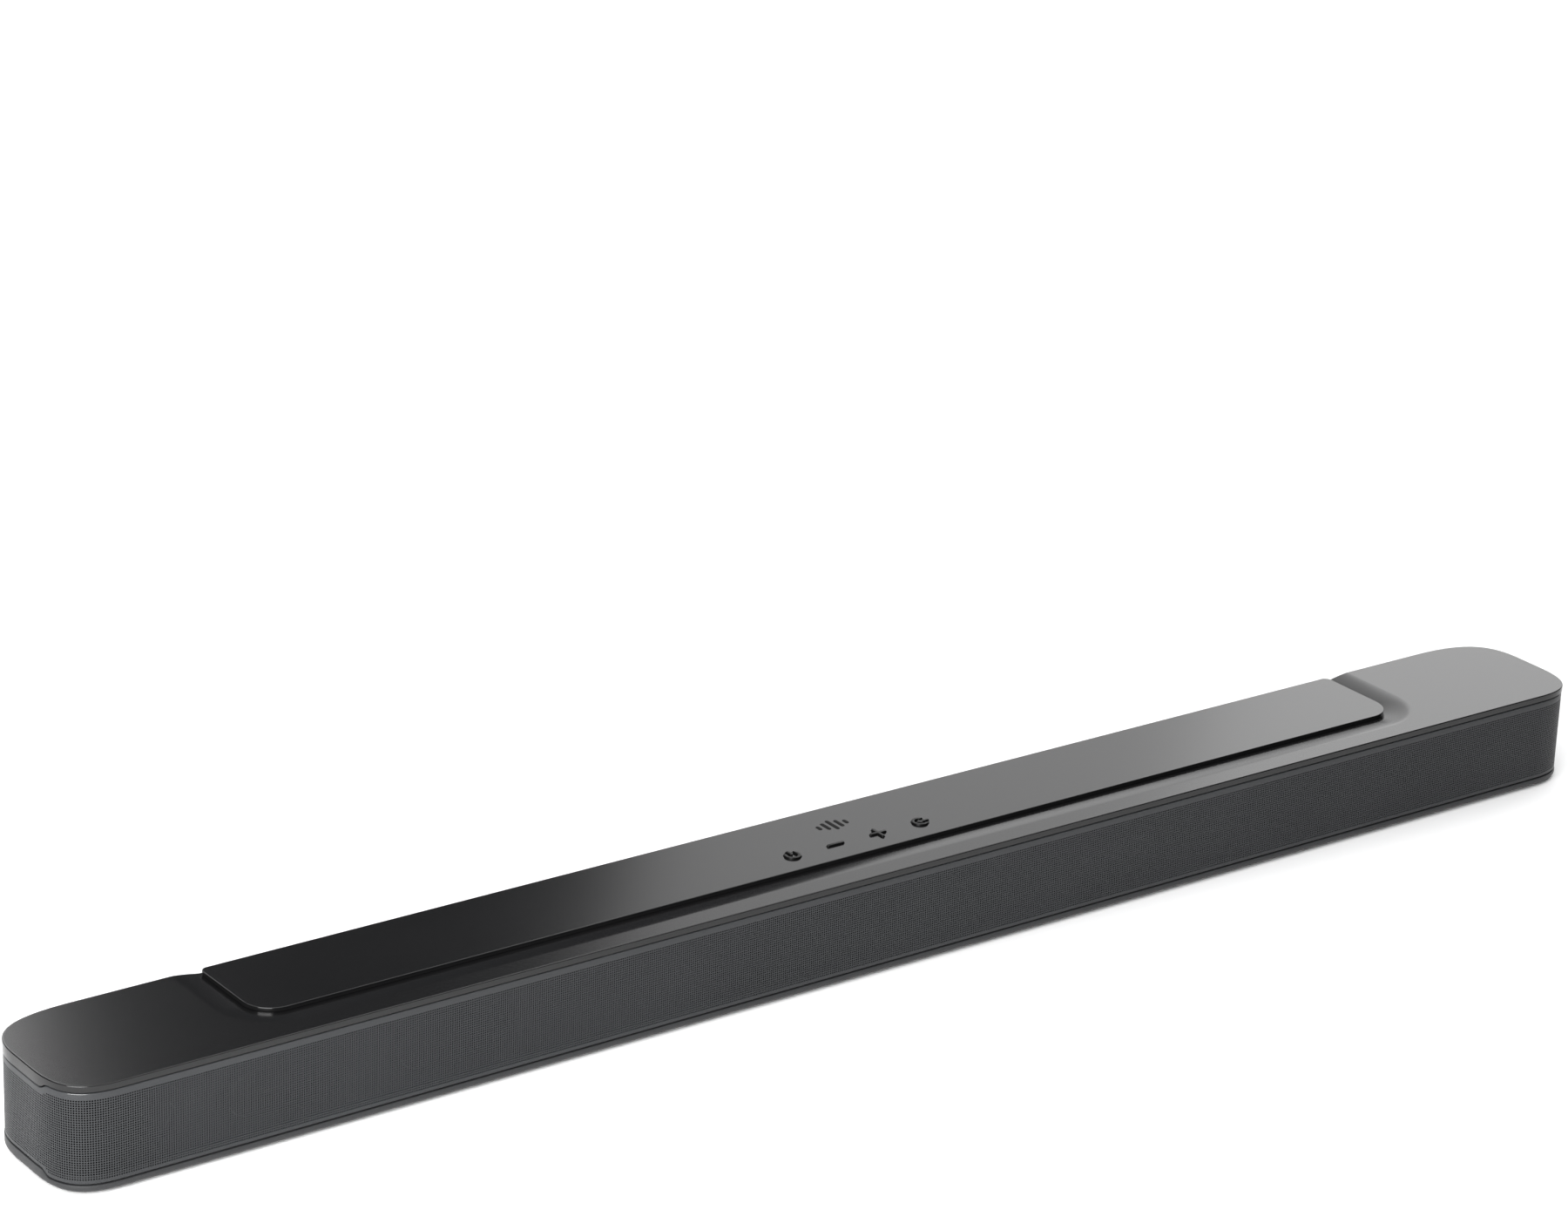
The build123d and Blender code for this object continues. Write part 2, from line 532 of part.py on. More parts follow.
# ================================================================ baffle
WOOFER_HOLES = [(sx * 36.5, sz * 17.0) for sx in (-1, 1) for sz in (-1, 1)]
TWEETER_HOLES = [(0.0, 14.8), (0.0, -14.8)]
DISPLAY = (125.0, 175.0, 21.5, 35.5)
IR = (184.0, 190.0, 26.0, 33.0)
DISPLAY_BOARD = (112.0, 198.0, 14.0, 44.0)
DISPLAY_BOARD_Y = BAFFLE_Y0 + 4.4
DISPLAY_HOLES = [(x, z) for x in (117.0, 193.0) for z in (18.0, 40.0)]
BAFFLE_Y1 = BAFFLE_Y0 + BAFFLE_T
with BuildPart() as front_baffle:
    add(block(-HX + 20.5, HX - 20.5, BAFFLE_Y0, BAFFLE_Y1, FLOOR_Z, DECK_Z - 0.1))
    for wx in WOOFER_XS:
        add(racetrack(wx, AXIS_Z, EDGE_W + 3.6, EDGE_H + 3.6, BAFFLE_Y0 - 1, BAFFLE_Y1 + 1), mode=Mode.SUBTRACT)
        for hx, hz in WOOFER_HOLES:
            add(rod_y(wx + hx, AXIS_Z + hz, BAFFLE_Y0 - 1, BAFFLE_Y1 + 1, 1.35), mode=Mode.SUBTRACT)
    for tx in TWEETER_XS:
        add(rod_y(tx, AXIS_Z, BAFFLE_Y0 - 1, BAFFLE_Y1 + 1, 12.4), mode=Mode.SUBTRACT)
        for hx, hz in TWEETER_HOLES:
            add(rod_y(tx + hx, AXIS_Z + hz, BAFFLE_Y0 - 1, BAFFLE_Y1 + 1, 1.35), mode=Mode.SUBTRACT)
    for x0, x1, z0, z1 in (DISPLAY, IR):
        add(block(x0 - 0.5, x1 + 0.5, BAFFLE_Y0 - 1, BAFFLE_Y1 + 1, z0 - 0.5, z1 + 0.5), mode=Mode.SUBTRACT)
    for x, z in DISPLAY_HOLES:
        add(rod_y(x, z, BAFFLE_Y1 - 0.2, DISPLAY_BOARD_Y, 2.5))
        add(rod_y(x, z, BAFFLE_Y0 + 1.0, DISPLAY_BOARD_Y + 1, 1.2), mode=Mode.SUBTRACT)
finish(front_baffle, "front_baffle")

# ================================================================ woofers
with BuildPart() as woofer_baskets:
    for wx in WOOFER_XS:
        with BuildPart(mode=Mode.PRIVATE) as one:
            with BuildSketch(face_y(FLANGE_Y0)):
                with Locations((wx, AXIS_Z)):
                    RectangleRounded(FLANGE_W, FLANGE_H, 5)
                    SlotOverall(EDGE_W, EDGE_H, mode=Mode.SUBTRACT)
            extrude(amount=-FLANGE_T)
            for hx, hz in WOOFER_HOLES:
                add(rod_y(wx + hx, AXIS_Z + hz, FLANGE_Y0 - 1, FLANGE_Y0 + 3, 1.6), mode=Mode.SUBTRACT)
            y0, y1 = FLANGE_Y0 + FLANGE_T, BACK_Y
            with BuildPart(mode=Mode.PRIVATE) as skin:
                add(racetrack_loft(wx, AXIS_Z, (EDGE_W + 2, EDGE_H + 2), (42, 36), y0, y1))
                add(racetrack_loft(wx, AXIS_Z, (EDGE_W - 0.6, EDGE_H - 0.6), (39, 33), y0, y1), mode=Mode.SUBTRACT)
                for s in (-15, 15):
                    add(block(wx + s - 8, wx + s + 8, BACK_Y - 18, BACK_Y - 4, AXIS_Z - 25, AXIS_Z + 25), mode=Mode.SUBTRACT)
            add(skin.part)
            add(racetrack(wx, AXIS_Z, 42, 36, y1, y1 + 1.5))
            add(rod_y(wx, AXIS_Z, y1 - 1, y1 + 3, 12.0), mode=Mode.SUBTRACT)
        add(one.part)
finish(woofer_baskets, "woofer_baskets")

with BuildPart() as woofer_motors:
    for wx in WOOFER_XS:
        b = BACK_Y + 1.5
        add(rod_y(wx, AXIS_Z, b, b + 3, MAGNET_R - 2.0))
        add(rod_y(wx, AXIS_Z, b + 3, b + 11, MAGNET_R))
        add(rod_y(wx, AXIS_Z, b + 11, b + 14, MAGNET_R - 2.0))
        add(rod_y(wx, AXIS_Z, b - 1, b + 11, COIL_R + 0.6), mode=Mode.SUBTRACT)
        add(rod_y(wx, AXIS_Z, b, b + 11.5, COIL_R - 1.0))
finish(woofer_motors, "woofer_motors")


def dome(x, base_y, radius, height, wall):
    """Thin cap of a sphere bulging to the front."""
    big = (radius ** 2 + height ** 2) / (2 * height)
    with BuildPart() as p:
        with Locations((x, base_y + big - height, AXIS_Z)):
            Sphere(big)
            Sphere(big - wall, mode=Mode.SUBTRACT)
        add(block(x - 30, x + 30, base_y, base_y + 60, AXIS_Z - 30, AXIS_Z + 30), mode=Mode.SUBTRACT)
    return p.part


CONE_NODES = ["woofer_cone_outer_left", "woofer_cone_inner_left",
              "woofer_cone_inner_right", "woofer_cone_outer_right"]
for wx, name in zip(WOOFER_XS, CONE_NODES):
    with BuildPart() as cone:
        y0, y1 = FLANGE_Y0, NECK_Y
        add(racetrack_loft(wx, AXIS_Z, (CONE_W, CONE_H), (21.4, 20.8), y0, y1))
        add(racetrack_loft(wx, AXIS_Z, (CONE_W - 1.4, CONE_H - 1.4), (20.0, 19.4), y0, y1), mode=Mode.SUBTRACT)
        with BuildPart(mode=Mode.PRIVATE) as coil:
            add(rod_y(wx, AXIS_Z, NECK_Y - 0.6, BACK_Y + 6.5, COIL_R))
            add(rod_y(wx, AXIS_Z, NECK_Y - 1, BACK_Y + 7, COIL_R - 0.5), mode=Mode.SUBTRACT)
        add(coil.part)
        with BuildPart(mode=Mode.PRIVATE) as seat:
            add(rod_y(wx, AXIS_Z, NECK_Y - 1.0, NECK_Y - 0.3, COIL_R - 0.2))
            add(rod_y(wx, AXIS_Z, NECK_Y - 2, NECK_Y, 8.4), mode=Mode.SUBTRACT)
        add(seat.part)
        add(dome(wx, NECK_Y - 0.8, COIL_R - 0.9, 3.4, 0.6))
    finish(cone, name)

ROLL_R, ROLL_T = 2.2, 0.5
ROLL_W, ROLL_H = CONE_W + 0.8 + 2 * ROLL_R, CONE_H + 0.8 + 2 * ROLL_R
with BuildPart() as woofer_surrounds:
    for wx in WOOFER_XS:
        r_end, half = ROLL_H / 2, (ROLL_W - ROLL_H) / 2
        with BuildPart(mode=Mode.PRIVATE) as half_ring:
            for k in range(2):
                with BuildSketch(Plane.YZ.offset(wx + half)):
                    with Locations((FLANGE_Y0, AXIS_Z + r_end)):
                        Circle(ROLL_R)
                        Circle(ROLL_R - ROLL_T, mode=Mode.SUBTRACT)
                    with Locations((FLANGE_Y0 + 5, AXIS_Z + r_end)):
                        Rectangle(10, 20, mode=Mode.SUBTRACT)
                    with Locations((FLANGE_Y0 - 0.25, AXIS_Z + r_end + 3.0)):
                        Rectangle(0.5, 2.2)
                if k == 0:
                    extrude(amount=-2 * half)
                else:
                    revolve(axis=Axis((wx + half, 0, AXIS_Z), (0, 1, 0)), revolution_arc=180)
        add(half_ring.part)
        add(half_ring.part.rotate(Axis((wx, 0, AXIS_Z), (0, 1, 0)), 180))
finish(woofer_surrounds, "woofer_surrounds")

# ================================================================ tweeters
SEAT_Y = FLANGE_Y0 + 3.1
with BuildPart() as tweeter_bodies:
    for tx in TWEETER_XS:
        add(rod_y(tx, AXIS_Z, FLANGE_Y0, FLANGE_Y0 + FLANGE_T, 17.0))
        add(rod_y(tx, AXIS_Z, FLANGE_Y0 + FLANGE_T, FLANGE_Y0 + 16.6, 12.0))
        add(rod_y(tx, AXIS_Z, FLANGE_Y0 - 1, SEAT_Y, 10.2), mode=Mode.SUBTRACT)
        for hx, hz in TWEETER_HOLES:
            add(rod_y(tx + hx, AXIS_Z + hz, FLANGE_Y0 - 1, FLANGE_Y0 + 3, 1.6), mode=Mode.SUBTRACT)
finish(tweeter_bodies, "tweeter_bodies")

with BuildPart() as tweeter_domes:
    for tx in TWEETER_XS:
        with BuildPart(mode=Mode.PRIVATE) as seat:
            add(rod_y(tx, AXIS_Z, SEAT_Y - 0.6, SEAT_Y, 10.1))
            add(rod_y(tx, AXIS_Z, SEAT_Y - 1.5, SEAT_Y + 0.5, 8.5), mode=Mode.SUBTRACT)
        add(seat.part)
        add(dome(tx, SEAT_Y - 0.5, 9.4, 3.2, 0.5))
finish(tweeter_domes, "tweeter_domes")

with BuildPart() as driver_gaskets:
    with BuildSketch(face_y(BAFFLE_Y0 - GASKET_T)):
        for wx in WOOFER_XS:
            with Locations((wx, AXIS_Z)):
                RectangleRounded(FLANGE_W, FLANGE_H, 5)
                SlotOverall(EDGE_W + 2.6, EDGE_H + 2.6, mode=Mode.SUBTRACT)
            for hx, hz in WOOFER_HOLES:
                with Locations((wx + hx, AXIS_Z + hz)):
                    Circle(1.6, mode=Mode.SUBTRACT)
        for tx in TWEETER_XS:
            with Locations((tx, AXIS_Z)):
                Circle(17.0)
                Circle(12.3, mode=Mode.SUBTRACT)
            for hx, hz in TWEETER_HOLES:
                with Locations((tx + hx, AXIS_Z + hz)):
                    Circle(1.6, mode=Mode.SUBTRACT)
    extrude(amount=-GASKET_T)
finish(driver_gaskets, "driver_gaskets")

with BuildPart() as driver_screws:
    for xs, holes in ((WOOFER_XS, WOOFER_HOLES), (TWEETER_XS, TWEETER_HOLES)):
        for dx in xs:
            for hx, hz in holes:
                x, z = dx + hx, AXIS_Z + hz
                add(rod_y(x, z, FLANGE_Y0 - 1.5, FLANGE_Y0, 2.1))
                add(rod_y(x, z, FLANGE_Y0 - 0.1, BAFFLE_Y1 + 3.0, 1.3))
                add(block(x - 1.1, x + 1.1, FLANGE_Y0 - 1.6, FLANGE_Y0 - 0.8, z - 0.3, z + 0.3), mode=Mode.SUBTRACT)
                add(block(x - 0.3, x + 0.3, FLANGE_Y0 - 1.6, FLANGE_Y0 - 0.8, z - 1.1, z + 1.1), mode=Mode.SUBTRACT)
finish(driver_screws, "driver_screws")

# ================================================================ boards
for b_name, b in BOARDS.items():
    with BuildPart() as board:
        add(block(b[0], b[1], b[2], b[3], BOARD_Z, BOARD_Z + BOARD_T))
        for bx, by in board_holes(b):
            add(rod_z(bx, by, BOARD_Z - 1, BOARD_Z + 3, 1.6), mode=Mode.SUBTRACT)
    finish(board, b_name + "_board")

CHIP_Z = BOARD_Z + BOARD_T
with BuildPart() as board_chips:
    for x, y, w, d, h in ((-20, -6, 15, 15, 1.6), (6, -8, 9, 12, 1.1), (30, -4, 9, 9, 1.2), (54, -8, 7, 7, 1.0),
                          (-52, -12, 8, 6, 1.2), (64, 8, 6, 5, 1.5), (-205, 8, 7, 9, 1.4)):
        add(block(x - w / 2, x + w / 2, y - d / 2, y + d / 2, CHIP_Z, CHIP_Z + h))
finish(board_chips, "board_chips")

with BuildPart() as wireless_module:
    add(block(-104, -82, -10, 8, CHIP_Z, CHIP_Z + 0.8))
    add(block(-103, -89, -9, 7, CHIP_Z + 0.8, CHIP_Z + 2.8))
finish(wireless_module, "wireless_module")

with BuildPart() as transformer:
    add(block(170, 200, -12, 12, CHIP_Z, CHIP_Z + 4))
    add(block(174, 196, -14, 14, CHIP_Z + 4, CHIP_Z + 18))
    add(block(170, 200, -9, 9, CHIP_Z + 4, CHIP_Z + 22))
finish(transformer, "transformer")

with BuildPart() as capacitors:
    for x, y, r, h in ((118, -9, 6.5, 24), (136, -9, 6.5, 24), (118, 10, 6.5, 24), (152, -12, 4, 14), (152, 2, 4, 14)):
        add(rod_z(x, y, CHIP_Z, CHIP_Z + h, r))
finish(capacitors, "capacitors")

with BuildPart() as heat_sink:
    add(block(-196, -140, -9, 9, CHIP_Z + 1.4, CHIP_Z + 4.4))
    for i in range(11):
        x = -195.2 + i * 5.44
        add(block(x - 0.8, x + 0.8, -9, 9, CHIP_Z + 4, CHIP_Z + 24))
    for x in (-194, -142):
        add(block(x - 1.5, x + 1.5, -3, 3, CHIP_Z, CHIP_Z + 2))
finish(heat_sink, "heat_sink")

with BuildPart() as output_chokes:
    for i in range(4):
        x = -192 + i * 16
        add(block(x - 5.5, x + 5.5, 12.5, 23.5, CHIP_Z, CHIP_Z + 9))
finish(output_chokes, "output_chokes")

# ================================================================ key board
with BuildPart() as key_board:
    add(block(-KEYBOARD_HX, KEYBOARD_HX, -KEYBOARD_HY, KEYBOARD_HY, KEYBOARD_Z, KEYBOARD_Z + BOARD_T))
    for x, y in KEY_SCREWS:
        add(rod_z(x, y, KEYBOARD_Z - 1, KEYBOARD_Z + 3, 1.3), mode=Mode.SUBTRACT)
finish(key_board, "key_board")

with BuildPart() as key_switches:
    for kx in KEY_XS:
        add(block(kx - 3.1, kx + 3.1, -3.1, 3.1, KEYBOARD_Z + BOARD_T, 49.5))
        add(rod_z(kx, 0, 47.5, 50, 2.1), mode=Mode.SUBTRACT)
finish(key_switches, "key_switches")

# ================================================================ display behind the grille
with BuildPart() as display_board:
    x0, x1, z0, z1 = DISPLAY_BOARD
    add(block(x0, x1, DISPLAY_BOARD_Y, DISPLAY_BOARD_Y + BOARD_T, z0, z1))
    for x, z in DISPLAY_HOLES:
        add(rod_y(x, z, DISPLAY_BOARD_Y - 1, DISPLAY_BOARD_Y + 3, 1.4), mode=Mode.SUBTRACT)
finish(display_board, "display_board")

with BuildPart() as led_display:
    x0, x1, z0, z1 = DISPLAY
    add(block(x0, x1, BAFFLE_Y0 + 0.2, DISPLAY_BOARD_Y, z0, z1))
finish(led_display, "led_display")

with BuildPart() as ir_receiver:
    x0, x1, z0, z1 = IR
    add(block(x0, x1, BAFFLE_Y0 + 1.2, DISPLAY_BOARD_Y, z0, z1))
    with BuildPart(mode=Mode.PRIVATE) as lens:
        with Locations(((x0 + x1) / 2, BAFFLE_Y0 + 1.9, (z0 + z1) / 2)):
            Sphere(2.2)
    add(lens.part)
finish(ir_receiver, "ir_receiver")

with BuildPart() as board_screws:
    for b in BOARDS.values():
        for bx, by in board_holes(b):
            add(rod_z(bx, by, CHIP_Z, CHIP_Z + 1.8, 2.5))
            add(rod_z(bx, by, FLOOR_Z + 1.5, CHIP_Z + 0.1, 1.2))
            add(cross(bx, by, CHIP_Z + 1.8, True, 0.9), mode=Mode.SUBTRACT)
    for x, y in KEY_SCREWS:
        add(rod_z(x, y, KEYBOARD_Z - 1.4, KEYBOARD_Z, 2.0))
        add(rod_z(x, y, KEYBOARD_Z - 0.1, KEYBOARD_Z + 5.5, 1.0))
    for x, z in DISPLAY_HOLES:
        add(rod_y(x, z, DISPLAY_BOARD_Y + BOARD_T, DISPLAY_BOARD_Y + BOARD_T + 1.5, 2.1))
        add(rod_y(x, z, BAFFLE_Y0 + 1.6, DISPLAY_BOARD_Y + BOARD_T + 0.1, 1.15))
finish(board_screws, "board_screws")
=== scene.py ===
"""Looks of the soundbar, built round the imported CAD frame. Lengths are in millimetres here and
become metres when a mesh is made."""
import json
import math

import bmesh
import bpy
import numpy as np
from mathutils import Matrix, Vector


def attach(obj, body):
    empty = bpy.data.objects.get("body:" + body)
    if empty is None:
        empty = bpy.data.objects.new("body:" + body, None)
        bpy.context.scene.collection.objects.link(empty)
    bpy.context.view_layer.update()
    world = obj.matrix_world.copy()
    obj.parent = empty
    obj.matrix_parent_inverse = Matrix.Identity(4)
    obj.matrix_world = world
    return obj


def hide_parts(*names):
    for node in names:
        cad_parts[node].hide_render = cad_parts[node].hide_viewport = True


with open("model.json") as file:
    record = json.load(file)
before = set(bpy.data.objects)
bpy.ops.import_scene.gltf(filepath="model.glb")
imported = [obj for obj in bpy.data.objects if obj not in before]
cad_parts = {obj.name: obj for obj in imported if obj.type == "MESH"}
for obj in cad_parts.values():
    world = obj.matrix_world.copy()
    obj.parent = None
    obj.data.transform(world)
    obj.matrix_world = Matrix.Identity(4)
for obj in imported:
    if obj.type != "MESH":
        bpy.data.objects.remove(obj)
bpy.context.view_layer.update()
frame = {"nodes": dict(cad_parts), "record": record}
MM = 0.001

# ------------------------------------------------------------------ sizes shared with the CAD
HX, HY = 482.5, 42.5
FRONT_R, REAR_R = (30.0, 32.0), (48.0, 34.0)
SQUARE = 0.72
TOP_Z, MOAT_Z, DECK_Z = 57.0, 54.7, 52.7
SKIRT_Z, BAND_Z, STEP, SEAM = 53.5, 5.5, 2.6, 0.6
STEP_Y0, STEP_Y1, SPLIT_Y = -23.0, -17.0, 30.0
FOOT_H, FLOOR_Z, WALL = 1.5, 3.7, 2.2
PLATE_HX, PLATE_Y0, PLATE_R, MOAT_W = 365.0, -15.3, 16.0, 15.5
KEY_XS = (-41.25, -13.75, 13.75, 41.25)
KEY_BAY = 8.0            # half the side of the square opening in the deck under a key
KEYS_HX = 62.0           # half the length of the deck's middle stretch, with the keys' openings
GRILLE_IN, GRILLE_T = 0.3, 1.2
CUT_XS = sorted([-KEYS_HX, KEYS_HX] + [k + s for k in KEY_XS for s in (-KEY_BAY, KEY_BAY)])
SHARP = 35.0             # edges with a larger angle than this are shaded sharp


def smooth(t):
    t = min(1.0, max(0.0, t))
    return t * t * (3 - 2 * t)


# ------------------------------------------------------------------ plan outline
def bez(p0, p1, p2, p3, n):
    t = np.linspace(0, 1, n + 1)[:, None]
    p0, p1, p2, p3 = map(np.array, (p0, p1, p2, p3))
    return (1 - t) ** 3 * p0 + 3 * t * (1 - t) ** 2 * p1 + 3 * t * t * (1 - t) * p2 + t ** 3 * p3


def plan(n=40):
    """Closed outline, anticlockwise from the middle of the rear wall's left end round to it again."""
    s = 1 - SQUARE
    fx, fy = FRONT_R
    rx, ry = REAR_R
    left_rear = bez((-HX + rx, HY), (-HX + s * rx, HY), (-HX, HY - s * ry), (-HX, HY - ry), n)
    left_front = bez((-HX, -HY + fy), (-HX, -HY + s * fy), (-HX + s * fx, -HY), (-HX + fx, -HY), n)
    flip = np.array([-1.0, 1.0])
    return left_rear, left_front, left_front[::-1] * flip, left_rear[::-1] * flip


def end_wall(sign, n=8):
    """Points down the straight part of an end wall, rear to front on the left, front to rear on the right."""
    ys = (HY - REAR_R[1], -HY + FRONT_R[1])
    return [np.array((sign * HX, y)) for y in np.linspace(*(ys if sign < 0 else ys[::-1]), n)]


def clean_path(points, tol=1e-6):
    out = [points[0]]
    for p in points[1:]:
        if np.linalg.norm(p - out[-1]) > tol:
            out.append(p)
    return np.array(out)


def normals(path, closed):
    """Outward normals of an anticlockwise path."""
    if closed:
        d = np.roll(path, -1, 0) - np.roll(path, 1, 0)
    else:
        d = np.gradient(path, axis=0)
    d /= np.linalg.norm(d, axis=1)[:, None]
    return np.stack([d[:, 1], -d[:, 0]], 1)


# ------------------------------------------------------------------ mesh helper
class Net:
    """Collects faces and welds vertices that lie in the same place."""

    def __init__(self):
        self.v, self.f, self.key = [], [], {}

    def at(self, p):
        k = (round(p[0] * 2000), round(p[1] * 2000), round(p[2] * 2000))
        i = self.key.get(k)
        if i is None:
            i = self.key[k] = len(self.v)
            self.v.append((float(p[0]), float(p[1]), float(p[2])))
        return i

    def face(self, points):
        ids = []
        for p in points:
            i = self.at(p)
            if not ids or ids[-1] != i:
                ids.append(i)
        if len(ids) > 1 and ids[0] == ids[-1]:
            ids.pop()
        if len(ids) > 2 and len(set(ids)) == len(ids):
            self.f.append(ids)

    def strip(self, a, b, closed):
        """Quads between two rows of points; a lies below or outside, the path runs anticlockwise."""
        n = len(a)
        for i in range(n if closed else n - 1):
            j = (i + 1) % n
            self.face([a[i], a[j], b[j], b[i]])


def shade_smooth(me, sharp=SHARP):
    me.polygons.foreach_set("use_smooth", [True] * len(me.polygons))
    me.set_sharp_from_angle(angle=math.radians(sharp))


def new_object(name, verts, faces, sharp=SHARP, flat=False):
    me = bpy.data.meshes.new(name)
    me.from_pydata([(x * MM, y * MM, z * MM) for x, y, z in verts], [], faces)
    me.validate()
    me.update()
    ob = bpy.data.objects.new(name, me)
    bpy.context.scene.collection.objects.link(ob)
    if not flat:
        shade_smooth(me, sharp)
    return ob


def fix_normals(ob):
    bm = bmesh.new()
    bm.from_mesh(ob.data)
    bmesh.ops.recalc_face_normals(bm, faces=bm.faces)
    bm.to_mesh(ob.data)
    bm.free()


def box_mesh(name, lo, hi):
    (x0, y0, z0), (x1, y1, z1) = lo, hi
    v = [(x, y, z) for x in (x0, x1) for y in (y0, y1) for z in (z0, z1)]
    f = [(0, 1, 3, 2), (4, 6, 7, 5), (0, 4, 5, 1), (2, 3, 7, 6), (0, 2, 6, 4), (1, 5, 7, 3)]
    return new_object(name, v, f, flat=True)


def rod_mesh(name, centre, r, half, axis="z", n=48):
    a = [2 * math.pi * i / n for i in range(n)]
    v, f = [], []
    for s in (-half, half):
        for t in a:
            u, w = r * math.cos(t), r * math.sin(t)
            p = (u, w, s) if axis == "z" else (u, s, w)
            v.append(tuple(c + q for c, q in zip(centre, p)))
    for i in range(n):
        j = (i + 1) % n
        f.append((i, j, n + j, n + i))
    f += [tuple(reversed(range(n))), tuple(range(n, 2 * n))]
    ob = new_object(name, v, f, flat=True)
    fix_normals(ob)
    return ob


def apply_modifiers(ob):
    dg = bpy.context.evaluated_depsgraph_get()
    me = bpy.data.meshes.new_from_object(ob.evaluated_get(dg), depsgraph=dg)
    old = ob.data
    ob.modifiers.clear()
    ob.data = me
    me.name = ob.name
    bpy.data.meshes.remove(old)


def cut(ob, cutters):
    """Subtracts all cutters from the piece."""
    for c in cutters:
        m = ob.modifiers.new("cut", "BOOLEAN")
        m.operation, m.solver, m.object = "DIFFERENCE", "EXACT", c
    apply_modifiers(ob)
    for c in cutters:
        bpy.data.objects.remove(c)
    shade_smooth(ob.data)


# ------------------------------------------------------------------ heights that follow the outline
def end_step(y):
    """How much taller the skirt and the band are towards the ends than along the front."""
    return STEP * smooth((y - STEP_Y0) / (STEP_Y1 - STEP_Y0))


def skirt_low(y):
    return SKIRT_Z - end_step(y)


def band_top(y):
    return BAND_Z + end_step(y)


MOAT_POWER = 1.35        # above 1, the moat is steepest next to the plate
MOAT_DS = [MOAT_W * t for t in (0, .02, .05, .1, .16, .23, .31, .4, .5, .6, .7, .8, .88, .95, 1.0)]


def dish(d):
    """Height of the sloping moat at distance d from the control plate."""
    return TOP_Z - (TOP_Z - MOAT_Z) * max(0.0, 1 - d / MOAT_W) ** MOAT_POWER


# rear breakpoints, so that the outline meets the rows of the moat
REAR_XS = sorted({s * (PLATE_HX + d) for d in MOAT_DS for s in (-1, 1)} | set(CUT_XS))


def outline(n=40):
    lr, lf, rf, rr = plan(n)
    rear = [np.array((x, HY)) for x in sorted(REAR_XS, reverse=True)]
    front = [np.array((x, -HY)) for x in CUT_XS]
    return clean_path(list(lr) + end_wall(-1) + list(lf) + front + list(rf) + end_wall(1) + list(rr) + rear)


def top_height(x, y):
    d = abs(x) - PLATE_HX
    if y > HY - 1.2:
        if d <= 0:
            return MOAT_Z
        if d < MOAT_W:
            return dish(d)
    return TOP_Z


def offset(path, nrm, d):
    return path - nrm * d


def rows(path, z):
    """The path at one height, or at a height for each point."""
    zs = z if hasattr(z, "__len__") else [z] * len(path)
    return [(a, b, c) for (a, b), c in zip(path, zs)]


def quarter(angles):
    """Sine and cosine at each angle of a rounded edge."""
    return [(math.sin(math.radians(a)), math.cos(math.radians(a))) for a in angles]


